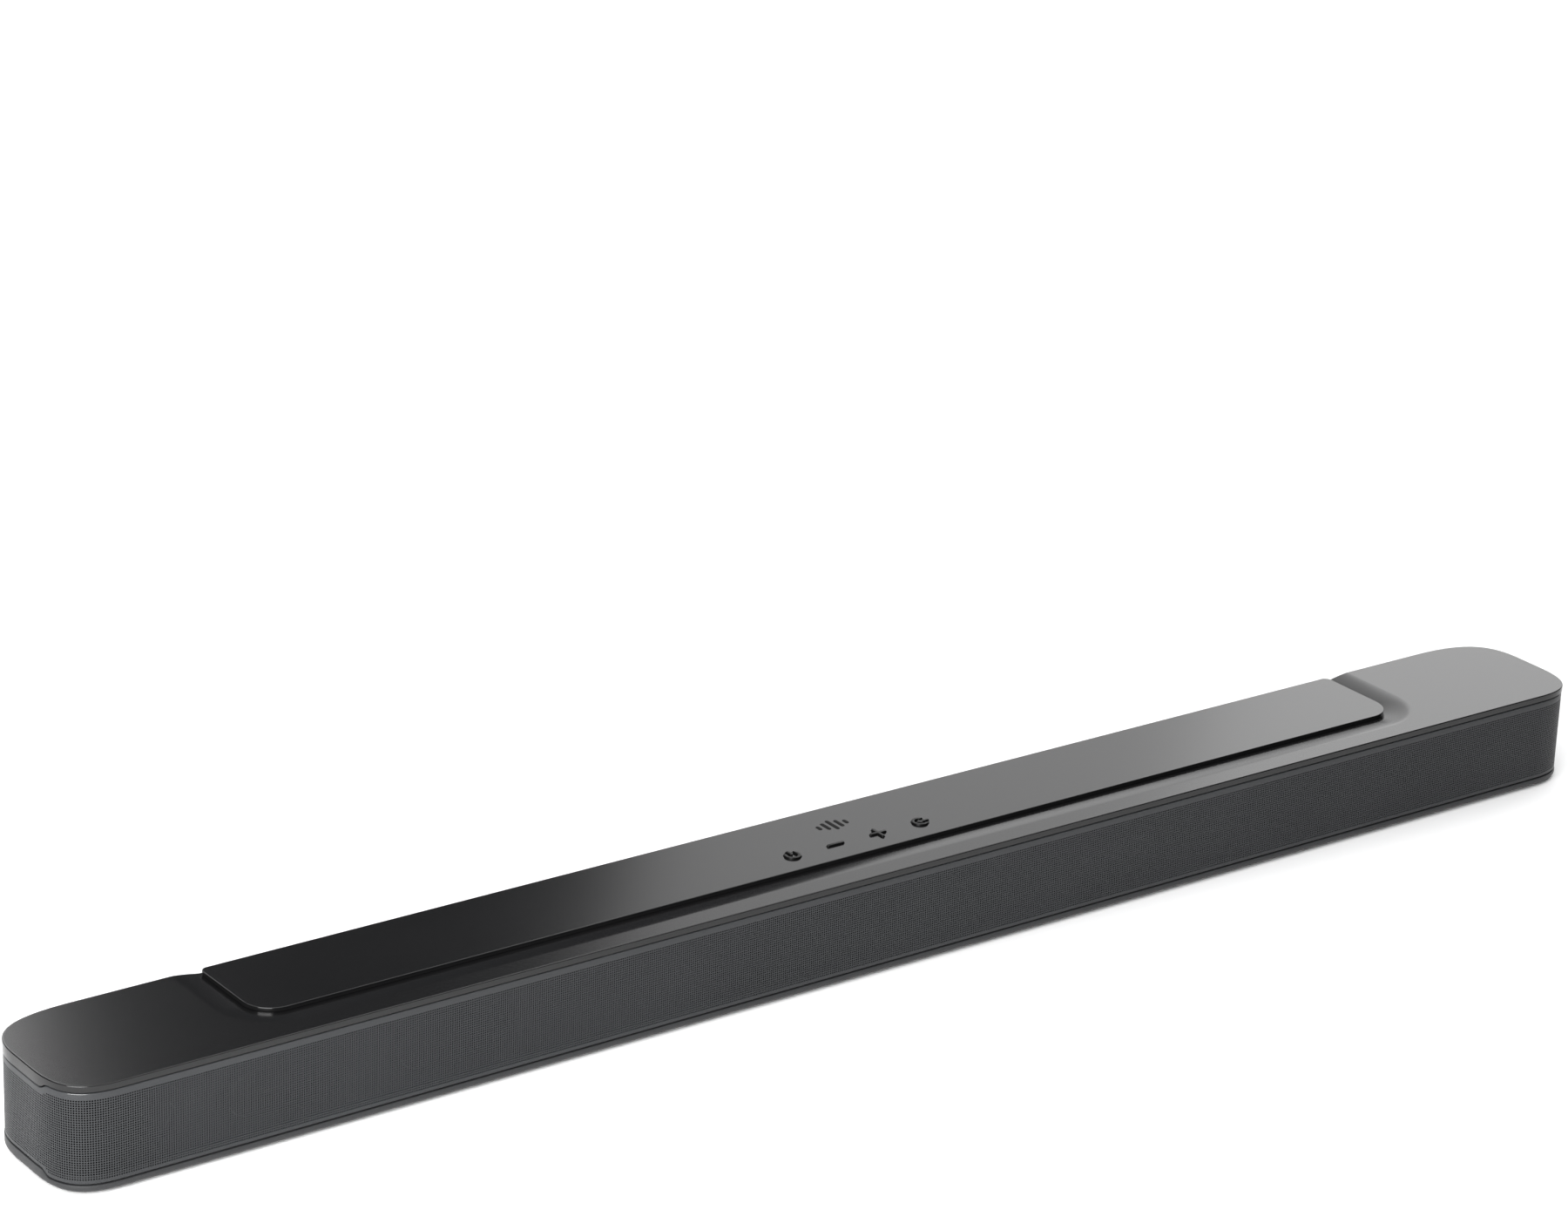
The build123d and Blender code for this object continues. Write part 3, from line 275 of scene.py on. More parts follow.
# ------------------------------------------------------------------ top cover
def build_top_cover():
    net = Net()
    path = outline()
    nrm = normals(path, True)
    r, chamfer, rim = 0.6, 0.18, 1.0     # top edge, lower edge, and where the flat top starts
    low = np.array([skirt_low(y) for _, y in path])
    top = np.array([top_height(x, y) for x, y in path])

    def ring(inset, z):
        return rows(offset(path, nrm, inset), z)

    levels = [ring(WALL, DECK_Z), ring(WALL, low), ring(chamfer, low), ring(0.0, low + chamfer), ring(0.0, top - r)]
    for sin, cos in quarter((15, 30, 45, 60, 75, 90)):
        levels.append(ring(r * (1 - cos), top - r * (1 - sin)))
    levels.append(ring(rim, top))
    for a, b in zip(levels, levels[1:]):
        net.strip(a, b, True)
    edge = levels[-1]
    y_end = HY - rim

    # moat: rows at growing distance from the plate
    def island_path(d):
        x, y0, rad = PLATE_HX + d, PLATE_Y0 - d, PLATE_R + d
        pts = [(-x, y) for y in (y_end, 30.0, 15.0)]
        corner = [(-x + rad - rad * math.cos(t), y0 + rad - rad * math.sin(t))
                  for t in np.linspace(0, math.pi / 2, 25)]
        pts += corner
        pts += [(c, y0) for c in CUT_XS]
        pts += [(-a, b) for a, b in reversed(corner)]
        pts += [(x, y) for y in (15.0, 30.0, y_end)]
        return [(a, b, dish(d)) for a, b in pts]

    grid = [island_path(d) for d in MOAT_DS]
    for inner, outer in zip(grid, grid[1:]):
        net.strip(outer, inner, False)
    apron = 0.6                          # narrow flat row that borders the moat
    support = [(x, y, TOP_Z) for x, y, _ in island_path(MOAT_W + apron)]
    net.strip(support, grid[-1], False)

    # flat part between the moat and the outer edge, as one face that starts at the left rear, next to the moat
    x_out = PLATE_HX + MOAT_W + apron
    flat = [p for p in edge if not (p[1] > y_end - 1e-3 and abs(p[0]) < x_out)]

    def next_to_moat(i):
        x, y, _ = flat[i]
        return y > y_end - 1e-3 and x < 0, x if x < 0 else -1e9

    k = max(range(len(flat)), key=next_to_moat)
    flat = flat[k:] + flat[:k]
    net.face(flat + list(reversed(support)))

    # floor below the plate, with an opening under every key
    x_lo, x_hi = -KEYS_HX, KEYS_HX
    left = [p for p in grid[0] if p[0] <= x_lo + 1e-6]
    right = [p for p in grid[0] if p[0] >= x_hi - 1e-6]
    net.face(left + [(x_lo, y, MOAT_Z) for y in (-KEY_BAY, KEY_BAY, y_end)])
    net.face([(x_hi, y, MOAT_Z) for y in (y_end, KEY_BAY, -KEY_BAY)] + right)

    def tiles(z, y_lo, y_hi, down):
        ys = (y_lo, -KEY_BAY, KEY_BAY, y_hi)
        for i, (x0, x1) in enumerate(zip(CUT_XS, CUT_XS[1:])):
            for j, (y0, y1) in enumerate(zip(ys, ys[1:])):
                if j == 1 and i % 2 == 1:
                    continue
                quad = [(x0, y0, z), (x1, y0, z), (x1, y1, z), (x0, y1, z)]
                net.face(quad[::-1] if down else quad)

    tiles(MOAT_Z, PLATE_Y0, y_end, False)
    # underside
    base = levels[0]
    y_lo, y_hi = min(p[1] for p in base), max(p[1] for p in base)
    left = [p for p in base if p[0] <= x_lo + 1e-6]
    k = max(range(len(left)), key=lambda i: (left[i][1] > y_hi - 1e-3, left[i][0]))
    left = left[k:] + left[:k]
    net.face((left + [(x_lo, -KEY_BAY, DECK_Z), (x_lo, KEY_BAY, DECK_Z)])[::-1])
    right = [p for p in base if p[0] >= x_hi - 1e-6]
    k = max(range(len(right)), key=lambda i: (right[i][1] < y_lo + 1e-3, -right[i][0]))
    right = right[k:] + right[:k]
    net.face((right + [(x_hi, KEY_BAY, DECK_Z), (x_hi, -KEY_BAY, DECK_Z)])[::-1])
    tiles(DECK_Z, y_lo, y_hi, True)
    for kx in KEY_XS:
        x0, x1 = kx - KEY_BAY, kx + KEY_BAY
        c = [(x0, -KEY_BAY), (x1, -KEY_BAY), (x1, KEY_BAY), (x0, KEY_BAY)]
        for (xa, ya), (xb, yb) in zip(c, c[1:] + c[:1]):
            net.face([(xb, yb, DECK_Z), (xa, ya, DECK_Z), (xa, ya, MOAT_Z), (xb, yb, MOAT_Z)])
    ob = new_object("top_cover_shell", net.v, net.f)
    fix_normals(ob)
    ob.data.set_sharp_from_angle(angle=math.radians(SHARP))
    return ob


# ------------------------------------------------------------------ control plate
SIGN_W, RING_R, KEY_GAP = 1.7, 4.5, 0.4      # strokes and rings of the key signs, and the gap round them
MINUS_L, PLUS_L, ARROW_HALF = 10.7, 10.4, 0.7
WELL_R = 4.4                                 # disc inside an open ring


def round_box_path(x, y0, y1, r_front, r_rear, n=24):
    t = np.linspace(0, math.pi / 2, n + 1)
    lr = [(-x + r_rear - r_rear * math.sin(a), y1 - r_rear + r_rear * math.cos(a)) for a in t]
    lf = [(-x + r_front - r_front * math.cos(a), y0 + r_front - r_front * math.sin(a)) for a in t]
    half = lr + lf
    return np.array(half + [(-a, b) for a, b in reversed(half)])


def prism(name, pts, z0, z1):
    n = len(pts)
    v = [(x, y, z0) for x, y in pts] + [(x, y, z1) for x, y in pts]
    f = [tuple(reversed(range(n))), tuple(range(n, 2 * n))]
    f += [(i, (i + 1) % n, n + (i + 1) % n, n + i) for i in range(n)]
    ob = new_object(name, v, f, flat=True)
    fix_normals(ob)
    return ob


def key_openings():
    """Cutters for the openings that the signs stand in, each a little larger than its sign."""
    low, high = 50, 60
    x_power, x_minus, x_plus, x_source = KEY_XS
    w = SIGN_W + 2 * KEY_GAP
    middle, half = 56, 4

    def bar(name, x, length, width, upright):
        return prism(name, capsule(x, 0, length + 2 * KEY_GAP, width, upright), low, high)

    return [rod_mesh("c0", (x_power, 0, middle), RING_R + KEY_GAP, half, n=64),
            rod_mesh("c1", (x_power, 4.7, middle), SIGN_W / 2 + KEY_GAP, half, n=32),
            bar("c2", x_minus, MINUS_L, w, False),
            bar("c3", x_plus, PLUS_L, w, False),
            bar("c4", x_plus, PLUS_L, w, True),
            rod_mesh("c5", (x_source, 0, middle), RING_R + KEY_GAP, half, n=64),
            bar("c6", x_source + 2.45, 6.3, 2 * ARROW_HALF + 2 * KEY_GAP, False)]


def build_plate():
    net = Net()
    rear_r, r, chamfer, rim = 4.0, 0.4, 0.2, 0.7
    path = round_box_path(PLATE_HX, PLATE_Y0, HY, PLATE_R, rear_r)
    nrm = normals(path, True)
    levels = [rows(offset(path, nrm, chamfer), MOAT_Z), rows(path, MOAT_Z + chamfer), rows(path, TOP_Z - r)]
    for sin, cos in quarter((18, 36, 54, 72, 90)):
        levels.append(rows(offset(path, nrm, r * (1 - cos)), TOP_Z - r * (1 - sin)))
    levels.append(rows(offset(path, nrm, rim), TOP_Z))
    for a, b in zip(levels, levels[1:]):
        net.strip(a, b, True)
    net.face(levels[-1])
    net.face(levels[0][::-1])
    ob = new_object("control_plate_shell", net.v, net.f)
    cut(ob, key_openings())
    return ob


# ------------------------------------------------------------------ keys: raised signs with rounded edges
def sign_mesh(name, loops, z0, z1, bevel=0.22):
    """Flat outlines made solid between two heights, with rounded edges."""
    cu = bpy.data.curves.new(name, "CURVE")
    cu.dimensions, cu.fill_mode = "2D", "BOTH"
    for pts in loops:
        sp = cu.splines.new("POLY")
        sp.points.add(len(pts) - 1)
        for p, (x, y) in zip(sp.points, pts):
            p.co = (x * MM, y * MM, 0, 1)
        sp.use_cyclic_u = True
    cu.extrude = ((z1 - z0) / 2 - bevel) * MM
    cu.bevel_depth, cu.bevel_resolution, cu.offset = bevel * MM, 3, -bevel * MM
    ob = bpy.data.objects.new(name, cu)
    bpy.context.scene.collection.objects.link(ob)
    dg = bpy.context.evaluated_depsgraph_get()
    me = bpy.data.meshes.new_from_object(ob.evaluated_get(dg), depsgraph=dg)
    bpy.data.objects.remove(ob)
    bpy.data.curves.remove(cu)
    me.transform(Matrix.Translation((0, 0, (z0 + z1) / 2 * MM)))
    return me


def arc(cx, cy, r, a0, a1, n):
    return [(cx + r * math.cos(math.radians(a)), cy + r * math.sin(math.radians(a))) for a in np.linspace(a0, a1, n)]


def capsule(cx, cy, length, w, upright):
    h = length / 2 - w / 2
    if upright:
        return arc(cx, cy + h, w / 2, 0, 180, 13) + arc(cx, cy - h, w / 2, 180, 360, 13)
    return arc(cx + h, cy, w / 2, -90, 90, 13) + arc(cx - h, cy, w / 2, 90, 270, 13)


def sign_loops(kind, x):
    w = SIGN_W
    if kind == "power":
        ro, ri, gap = RING_R, RING_R - w, 36
        gi = math.degrees(math.asin(min(1, ro * math.sin(math.radians(gap)) / ri)))
        ring = arc(x, 0, ro, 90 + gap, 450 - gap, 60) + arc(x, 0, ri, 450 - gi, 90 + gi, 60)
        return [ring, capsule(x, 2.7, 4.9, w, True)]
    if kind == "minus":
        return [capsule(x, 0, MINUS_L, w, False)]
    if kind == "plus":
        a, b = PLUS_L / 2, w / 2
        arm = arc(a - b, 0, b, -90, 90, 9) + [(b, b)]
        return [[(x + p, q) for p, q in arm] + [(x - q, p) for p, q in arm] + [(x - p, -q) for p, q in arm]
                + [(x + q, -p) for p, q in arm]]
    ro, ri, g = RING_R, 3.0, 2.7
    go, gi = math.degrees(math.asin(g / ro)), math.degrees(math.acos(2.0 / ri))
    ring = arc(x, 0, ro, go, 360 - go, 60) + [(x + 2.0, -g)] + arc(x, 0, ri, 360 - gi, gi, 50) + [(x + 2.0, g)]
    ah, neck, head = ARROW_HALF, 0.5, 2.2
    arrow = arc(4.9, 0, ah, -90, 90, 9) + [(neck, ah), (neck, head), (-1.9, 0), (neck, -head), (neck, -ah)]
    return [ring, [(x + p, q) for p, q in arrow]]


def join_meshes(name, meshes):
    bm = bmesh.new()
    for me in meshes:
        bm.from_mesh(me)
        bpy.data.meshes.remove(me)
    out = bpy.data.meshes.new(name)
    bmesh.ops.remove_doubles(bm, verts=bm.verts, dist=1e-7)
    bm.to_mesh(out)
    bm.free()
    ob = bpy.data.objects.new(name, out)
    bpy.context.scene.collection.objects.link(ob)
    shade_smooth(out, 50.0)
    return ob


def build_key(kind, name, x):
    """Raised sign, the flange that carries it and the stem that presses the switch."""
    proud, h = 1.0, 7.0
    flange = [(x - h, -h), (x + h, -h), (x + h, h), (x - h, h)]
    parts = [sign_mesh("sign", [loop], MOAT_Z - 0.6, TOP_Z + proud) for loop in sign_loops(kind, x)]
    parts.append(sign_mesh("flange", [flange], MOAT_Z - 1.3, MOAT_Z - 0.1, 0.1))
    parts.append(sign_mesh("stem", [arc(x, 0, 2.0, 0, 345, 24)], 50.2, MOAT_Z - 1.0, 0.05))
    return join_meshes(name, parts)


def build_well(name, x):
    """Disc inside the open ring of a key, level with the control plate."""
    circle = arc(x, 0, WELL_R, 0, 354, 60)
    return join_meshes(name, [sign_mesh("well", [circle], MOAT_Z - 0.1, TOP_Z - 0.05, 0.05)])


def build_emblem():
    """Five level bars of different height, printed on the plate."""
    loops = [capsule((i - 2) * 4.3, 21.5, h, 2.2, True) for i, h in enumerate((4.6, 8.6, 12.0, 8.6, 4.6))]
    return join_meshes("emblem_bars", [sign_mesh("bar", [lp], TOP_Z - 0.02, TOP_Z + 0.14, 0.05) for lp in loops])


# ------------------------------------------------------------------ bottom housing
def build_housing():
    net = Net()
    lr, lf, rf, rr = plan(40)
    path = clean_path(list(lr) + end_wall(-1) + list(lf) + list(rf) + end_wall(1) + list(rr))
    nrm = normals(path, True)
    top = np.array([band_top(y) for _, y in path])
    r, lip_z = 2.7, 9.6                  # rounding of the lower edge, top of the lip inside the grille

    def ring(inset, z):
        return rows(offset(path, nrm, inset), z)

    levels = [ring(3.2, FOOT_H)]
    for sin, cos in quarter((90, 78, 66, 54, 42, 30, 18, 6, 0)):
        levels.append(ring(r * (1 - cos), FOOT_H + r * (1 - sin)))
    levels += [ring(0.0, top - 0.2), ring(0.06, top - 0.06), ring(0.2, top), ring(1.6, top),
               ring(1.6, lip_z), ring(3.3, lip_z), ring(3.3, FLOOR_Z)]
    for a, b in zip(levels, levels[1:]):
        net.strip(a, b, True)
    net.face(levels[0][::-1])
    net.face(levels[-1])
    ob = new_object("bottom_housing_shell", net.v, net.f)
    fix_normals(ob)
    screws = [(s * x, y) for s, x in ((-1, 410.5), (-1, 317.0), (-1, 224.0), (1, 224.0), (1, 317.0), (1, 410.5))
              for y in (-27.0, 31.0)]
    cutters = [rod_mesh("screw_well", (x, y, 1.0), 3.3, 2.1) for x, y in screws]
    vents = [-195 + 9 * i for i in range(7)] + [122 + 9 * i for i in range(9)]
    cutters += [prism("vent", capsule(x, 1.0, 22.0, 2.4, True), 0.5, 6.0) for x in vents]
    # all cutters stay apart, so they can go in as one mesh
    cut(ob, [merge(cutters)])
    return ob


def merge(objs):
    bm = bmesh.new()
    for o in objs:
        bm.from_mesh(o.data)
        bpy.data.objects.remove(o)
    me = bpy.data.meshes.new("merged")
    bm.to_mesh(me)
    bm.free()
    ob = bpy.data.objects.new("merged", me)
    bpy.context.scene.collection.objects.link(ob)
    return ob


# ------------------------------------------------------------------ rear panel
BAY_X, MOUNT_X = (-112.3, 188.3), 200.0


def rear_path(n=60):
    """Open path along the rear, from the right split line to the left one."""
    lr, _, _, rr = plan(n)

    def cross(a, b):
        return a + (b - a) * (SPLIT_Y - a[1]) / (b[1] - a[1])

    i = next(i for i, p in enumerate(rr) if p[1] > SPLIT_Y)
    j = max(i for i, p in enumerate(lr) if p[1] > SPLIT_Y)
    return clean_path([cross(rr[i - 1], rr[i]), *rr[i:], *lr[:j + 1], cross(lr[j], lr[j + 1])])


def build_rear_panel():
    net = Net()
    path = rear_path()
    nrm = normals(path, False)
    z0, z1, e = BAND_Z + STEP + SEAM, SKIRT_Z - STEP - SEAM, 0.35
    levels = [rows(offset(path, nrm, WALL), z0), rows(offset(path, nrm, e), z0)]
    for sin, cos in quarter((30, 60, 90)):
        levels.append(rows(offset(path, nrm, e * (1 - sin)), z0 + e * (1 - cos)))
    for sin, cos in quarter((0, 30, 60, 90)):
        levels.append(rows(offset(path, nrm, e * (1 - cos)), z1 - e * (1 - sin)))
    levels.append(rows(offset(path, nrm, WALL), z1))
    for a, b in zip(levels, levels[1:]):
        net.strip(a, b, False)
    net.strip(levels[-1], levels[0], False)
    net.face([lv[0] for lv in levels])
    net.face([lv[-1] for lv in levels])
    ob = new_object("rear_panel_shell", net.v, net.f)
    fix_normals(ob)
    # the middle section of the rear wall belongs to the connector bay
    cutters = [box_mesh("bay", (BAY_X[0], 30, 0), (BAY_X[1], 60, 60))]
    cutters += [rod_mesh("mount", (x, 42, 29), 3.0, 5, axis="y") for x in (-MOUNT_X, MOUNT_X)]
    cut(ob, cutters)
    return ob


# ------------------------------------------------------------------ grille with real holes
PITCH_X, PITCH_Z, HOLE_R = 1.25, 1.225, 0.46
HOLE_BACK, HOLE_DEEP = 0.58, 0.5     # the punched holes widen towards the inside
ROWS, ROW_Z0 = 34, 8.6
PERF_LOW, PERF_HIGH = 1.85, 2.85     # plain borders below the lowest and above the highest row of holes
EDGE_R = 0.5                         # rolled upper and lower edge
OCTAGON = [(math.cos(math.radians(22.5 + 45 * k)), math.sin(math.radians(22.5 + 45 * k))) for k in range(8)]


def grille_path():
    """Samples of the outline every hole pitch, from the left split line round the front to the right."""
    lr, lf, rf, rr = plan(400)
    fine = [p for p in lr if p[1] < SPLIT_Y - SEAM] + list(lf) + list(rf) + [p for p in rr if p[1] < SPLIT_Y - SEAM]
    fine = clean_path(fine)
    nrm = normals(fine, False)
    fine = fine - nrm * GRILLE_IN
    s = np.concatenate([[0], np.cumsum(np.linalg.norm(np.diff(fine, axis=0), axis=1))])
    n = int(round(s[-1] / PITCH_X))
    at = np.linspace(0, s[-1], n + 1)
    p = np.stack([np.interp(at, s, fine[:, 0]), np.interp(at, s, fine[:, 1])], 1)
    q = np.stack([np.interp(at, s, nrm[:, 0]), np.interp(at, s, nrm[:, 1])], 1)
    return p, q / np.linalg.norm(q, axis=1)[:, None]


def build_grille(pieces=6):
    P, N = grille_path()
    cols = len(P) - 1
    zlo = np.array([band_top(y) + SEAM for y in P[:, 1]])
    zhi = np.array([skirt_low(y) - SEAM for y in P[:, 1]])
    zs = ROW_Z0 - PITCH_Z / 2 + PITCH_Z * np.arange(ROWS + 1)
    edge = EDGE_R
    roll = [(0.0, edge)] + [(edge * (1 - cos), edge * (1 - sin)) for sin, cos in quarter((22.5, 45, 67.5, 90))]
    prof = roll + [(GRILLE_T, 0.0), (GRILLE_T, 2.5)]
    out = []
    ends = [round(cols * i / pieces) for i in range(pieces + 1)]
    for k, (c0, c1) in enumerate(zip(ends, ends[1:])):
        verts, faces, key = [], [], {}

        def add(x, y, z):
            verts.append((x, y, z))
            return len(verts) - 1

        def level(i, inset, z, tag):
            t = (i, tag)
            if t not in key:
                p = P[i] - N[i] * inset
                key[t] = add(p[0], p[1], z)
            return key[t]

        for i in range(c0, c1):
            j = i + 1
            # rolled upper and lower edges, then the sheet's inner face
            for top in (True, False):
                zt = zhi if top else zlo
                sg = -1 if top else 1
                for m in range(len(prof) - 1):
                    (ia, za), (ib, zb) = prof[m], prof[m + 1]
                    a0 = level(i, ia, zt[i] + sg * za, (top, m))
                    a1 = level(j, ia, zt[j] + sg * za, (top, m))
                    b0 = level(i, ib, zt[i] + sg * zb, (top, m + 1))
                    b1 = level(j, ib, zt[j] + sg * zb, (top, m + 1))
                    faces.append((a0, a1, b1, b0) if top else (b0, b1, a1, a0))
            lo_i, lo_j, hi_i, hi_j = zlo[i] + edge, zlo[j] + edge, zhi[i] - edge, zhi[j] - edge

            def corner(c, r):
                lo, hi = (lo_i, hi_i) if c == i else (lo_j, hi_j)
                z = min(max(zs[r], lo), hi)
                if abs(z - lo) < 1e-6:
                    return level(c, 0.0, lo, (False, 0))
                if abs(z - hi) < 1e-6:
                    return level(c, 0.0, hi, (True, 0))
                return level(c, 0.0, z, ("z", r))

            # plain borders
            strip_lo = [level(i, 0, lo_i, (False, 0)), level(j, 0, lo_j, (False, 0)), corner(j, 0), corner(i, 0)]
            strip_hi = [corner(i, ROWS), corner(j, ROWS),
                        level(j, 0, hi_j, (True, 0)), level(i, 0, hi_i, (True, 0))]
            for q in (strip_lo, strip_hi):
                u = list(dict.fromkeys(q))
                if len(u) > 2:
                    faces.append(tuple(u))
            mid, nm = (P[i] + P[j]) / 2, N[i] + N[j]
            nm = nm / np.linalg.norm(nm)
            tg = np.array([-nm[1], nm[0]])
            low_lim = max(zlo[i], zlo[j]) + PERF_LOW
            high_lim = min(zhi[i], zhi[j]) - PERF_HIGH
            for r in range(ROWS):
                a, b, c, d = corner(i, r), corner(j, r), corner(j, r + 1), corner(i, r + 1)
                zc = (zs[r] + zs[r + 1]) / 2
                if not (low_lim <= zc - HOLE_R and zc + HOLE_R <= high_lim and 2 <= i < cols - 2):
                    u = list(dict.fromkeys((a, b, c, d)))
                    if len(u) > 2:
                        faces.append(tuple(u))
                    continue
                h = []
                for radius, deep in ((HOLE_R, 0.0), (HOLE_BACK, HOLE_DEEP)):
                    for ux, uz in OCTAGON:
                        h.append(add(*(mid + tg * ux * radius - nm * deep), zc + uz * radius))
                # octagon: 0,7 right side; 1,2 top; 3,4 left; 5,6 bottom
                faces += [(b, c, h[0], h[7]), (c, h[1], h[0]), (c, d, h[2], h[1]), (d, h[3], h[2]),
                          (d, a, h[4], h[3]), (a, h[5], h[4]), (a, b, h[6], h[5]), (b, h[7], h[6])]
                for m in range(8):
                    n = (m + 1) % 8
                    faces.append((h[m], h[n], h[8 + n], h[8 + m]))
        # closed ends at the rear of the sheet
        for i, first in ((0, True), (cols, False)):
            if (first and c0 == 0) or (not first and c1 == cols):
                prof_z = [z for z in zs if zlo[i] + edge < z < zhi[i] - edge]
                ring_ = [(0.0, zlo[i] + edge)] + [(0.0, z) for z in prof_z] + [(0.0, zhi[i] - edge)]
                tags = [(False, 0)] + [("z", int(np.argmin(abs(zs - z)))) for z in prof_z] + [(True, 0)]
                outer = [level(i, ia, z, t) for (ia, z), t in zip(ring_, tags)]
                inner = [level(i, GRILLE_T, z, ("in", m)) for m, (_, z) in enumerate(ring_)]
                for m in range(len(outer) - 1):
                    q = (outer[m], outer[m + 1], inner[m + 1], inner[m])
                    faces.append(q if first else q[::-1])
        out.append(new_object(f"grille_sheet_{k + 1}", verts, faces, sharp=40.0))
    return out


# ------------------------------------------------------------------ materials
def moulded(name, color, rough, grain=0.12, scale=2200.0, spread=0.15, metallic=0.0, rough_var=0.04, ior=1.5):
    """Moulded or painted surface: fine grain in the bump, faint variation of colour and gloss."""
    m = bpy.data.materials.new(name)
    m.use_nodes = True
    nt = m.node_tree
    b = nt.nodes["Principled BSDF"]
    b.inputs["Metallic"].default_value = metallic
    b.inputs["IOR"].default_value = ior
    tc = nt.nodes.new("ShaderNodeTexCoord")
    fine = nt.nodes.new("ShaderNodeTexNoise")
    fine.inputs["Scale"].default_value = scale
    fine.inputs["Detail"].default_value = 2.0
    broad = nt.nodes.new("ShaderNodeTexNoise")
    broad.inputs["Scale"].default_value = 14.0
    broad.inputs["Detail"].default_value = 3.0
    nt.links.new(tc.outputs["Object"], fine.inputs["Vector"])
    nt.links.new(tc.outputs["Object"], broad.inputs["Vector"])
    bump = nt.nodes.new("ShaderNodeBump")
    bump.inputs["Strength"].default_value = grain
    bump.inputs["Distance"].default_value = 0.00004
    nt.links.new(fine.outputs["Fac"], bump.inputs["Height"])
    nt.links.new(bump.outputs["Normal"], b.inputs["Normal"])
    ramp = nt.nodes.new("ShaderNodeMapRange")
    ramp.inputs["To Min"].default_value = rough - rough_var
    ramp.inputs["To Max"].default_value = rough + rough_var
    nt.links.new(broad.outputs["Fac"], ramp.inputs["Value"])
    nt.links.new(ramp.outputs["Result"], b.inputs["Roughness"])
    mix = nt.nodes.new("ShaderNodeMix")
    mix.data_type = "RGBA"
    mix.inputs["A"].default_value = (*[c * (1 - spread) for c in color], 1)
    mix.inputs["B"].default_value = (*[min(1, c * (1 + spread)) for c in color], 1)
    nt.links.new(broad.outputs["Fac"], mix.inputs["Factor"])
    nt.links.new(mix.outputs["Result"], b.inputs["Base Color"])
    return m


def polish_above(m, z, weight, rough):
    """A clear gloss on all that lies above height z, such as the rolled edge of the grille."""
    nt = m.node_tree
    b = nt.nodes["Principled BSDF"]
    tc = nt.nodes.new("ShaderNodeTexCoord")
    split = nt.nodes.new("ShaderNodeSeparateXYZ")
    over = nt.nodes.new("ShaderNodeMapRange")
    over.inputs["From Min"].default_value = z - 0.05 * MM
    over.inputs["From Max"].default_value = z + 0.05 * MM
    over.inputs["To Max"].default_value = weight
    nt.links.new(tc.outputs["Object"], split.inputs["Vector"])
    nt.links.new(split.outputs["Z"], over.inputs["Value"])
    nt.links.new(over.outputs["Result"], b.inputs["Coat Weight"])
    b.inputs["Coat Roughness"].default_value = rough


def set_material(ob, mat):
    ob.data.materials.clear()
    ob.data.materials.append(mat)


# colour, roughness and, where they aren't the usual ones, grain and the rest
FINISHES = {
    "cover_plastic": ((0.0055, 0.0055, 0.0057), 0.165, dict(grain=0.10, rough_var=0.006, ior=1.42)),
    "plate_plastic": ((0.0055, 0.0055, 0.0057), 0.16, dict(grain=0.06, rough_var=0.005, ior=1.42)),
    "grille_metal": ((0.023, 0.0242, 0.026), 0.42, dict(grain=0.05, rough_var=0.01, ior=1.38)),
    "housing_plastic": ((0.021, 0.0215, 0.0225), 0.45, dict(grain=0.25, rough_var=0.01, ior=1.40)),
    "rear_plastic": ((0.02, 0.02, 0.021), 0.5, dict(grain=0.6, scale=1400.0)),
    "key_plastic": ((0.003, 0.003, 0.003), 0.36, dict(grain=0.04, ior=1.30)),
    "printed_black": ((0.003, 0.003, 0.003), 0.6, dict(grain=0.02, ior=1.2)),
    "rubber": ((0.012, 0.012, 0.012), 0.7, dict(grain=0.6)),
    "black_steel": ((0.004, 0.004, 0.004), 0.5, dict(grain=0.05, ior=1.25)),
    "board": ((0.01, 0.06, 0.02), 0.4, dict(grain=0.2)),
    "chip": ((0.015, 0.015, 0.015), 0.55, dict(grain=0.3)),
    "steel": ((0.5, 0.5, 0.51), 0.3, dict(grain=0.1, metallic=1.0)),
    "brass": ((0.65, 0.45, 0.18), 0.3, dict(grain=0.1, metallic=1.0)),
    "black_plastic": ((0.004, 0.004, 0.004), 0.6, dict(grain=0.4, ior=1.25)),
    "aluminium": ((0.55, 0.55, 0.57), 0.35, dict(grain=0.2, metallic=1.0)),
    "basket_steel": ((0.004, 0.004, 0.004), 0.5, dict(grain=0.2, ior=1.25)),
    "motor_steel": ((0.3, 0.3, 0.3), 0.35, dict(grain=0.2, metallic=1.0)),
    "cone": ((0.004, 0.004, 0.004), 0.8, dict(grain=0.8, scale=700.0, ior=1.2)),
    "foam": ((0.003, 0.003, 0.003), 0.8, dict(grain=0.4, ior=1.2)),
    "dome": ((0.004, 0.004, 0.0044), 0.5, dict(grain=0.5, scale=3000.0, ior=1.25)),
    "display": ((0.006, 0.006, 0.008), 0.12, dict(grain=0.02)),
    "winding": ((0.5, 0.3, 0.05), 0.35, dict(grain=0.1)),
    "capacitor": ((0.02, 0.02, 0.04), 0.3, dict(grain=0.1)),
}


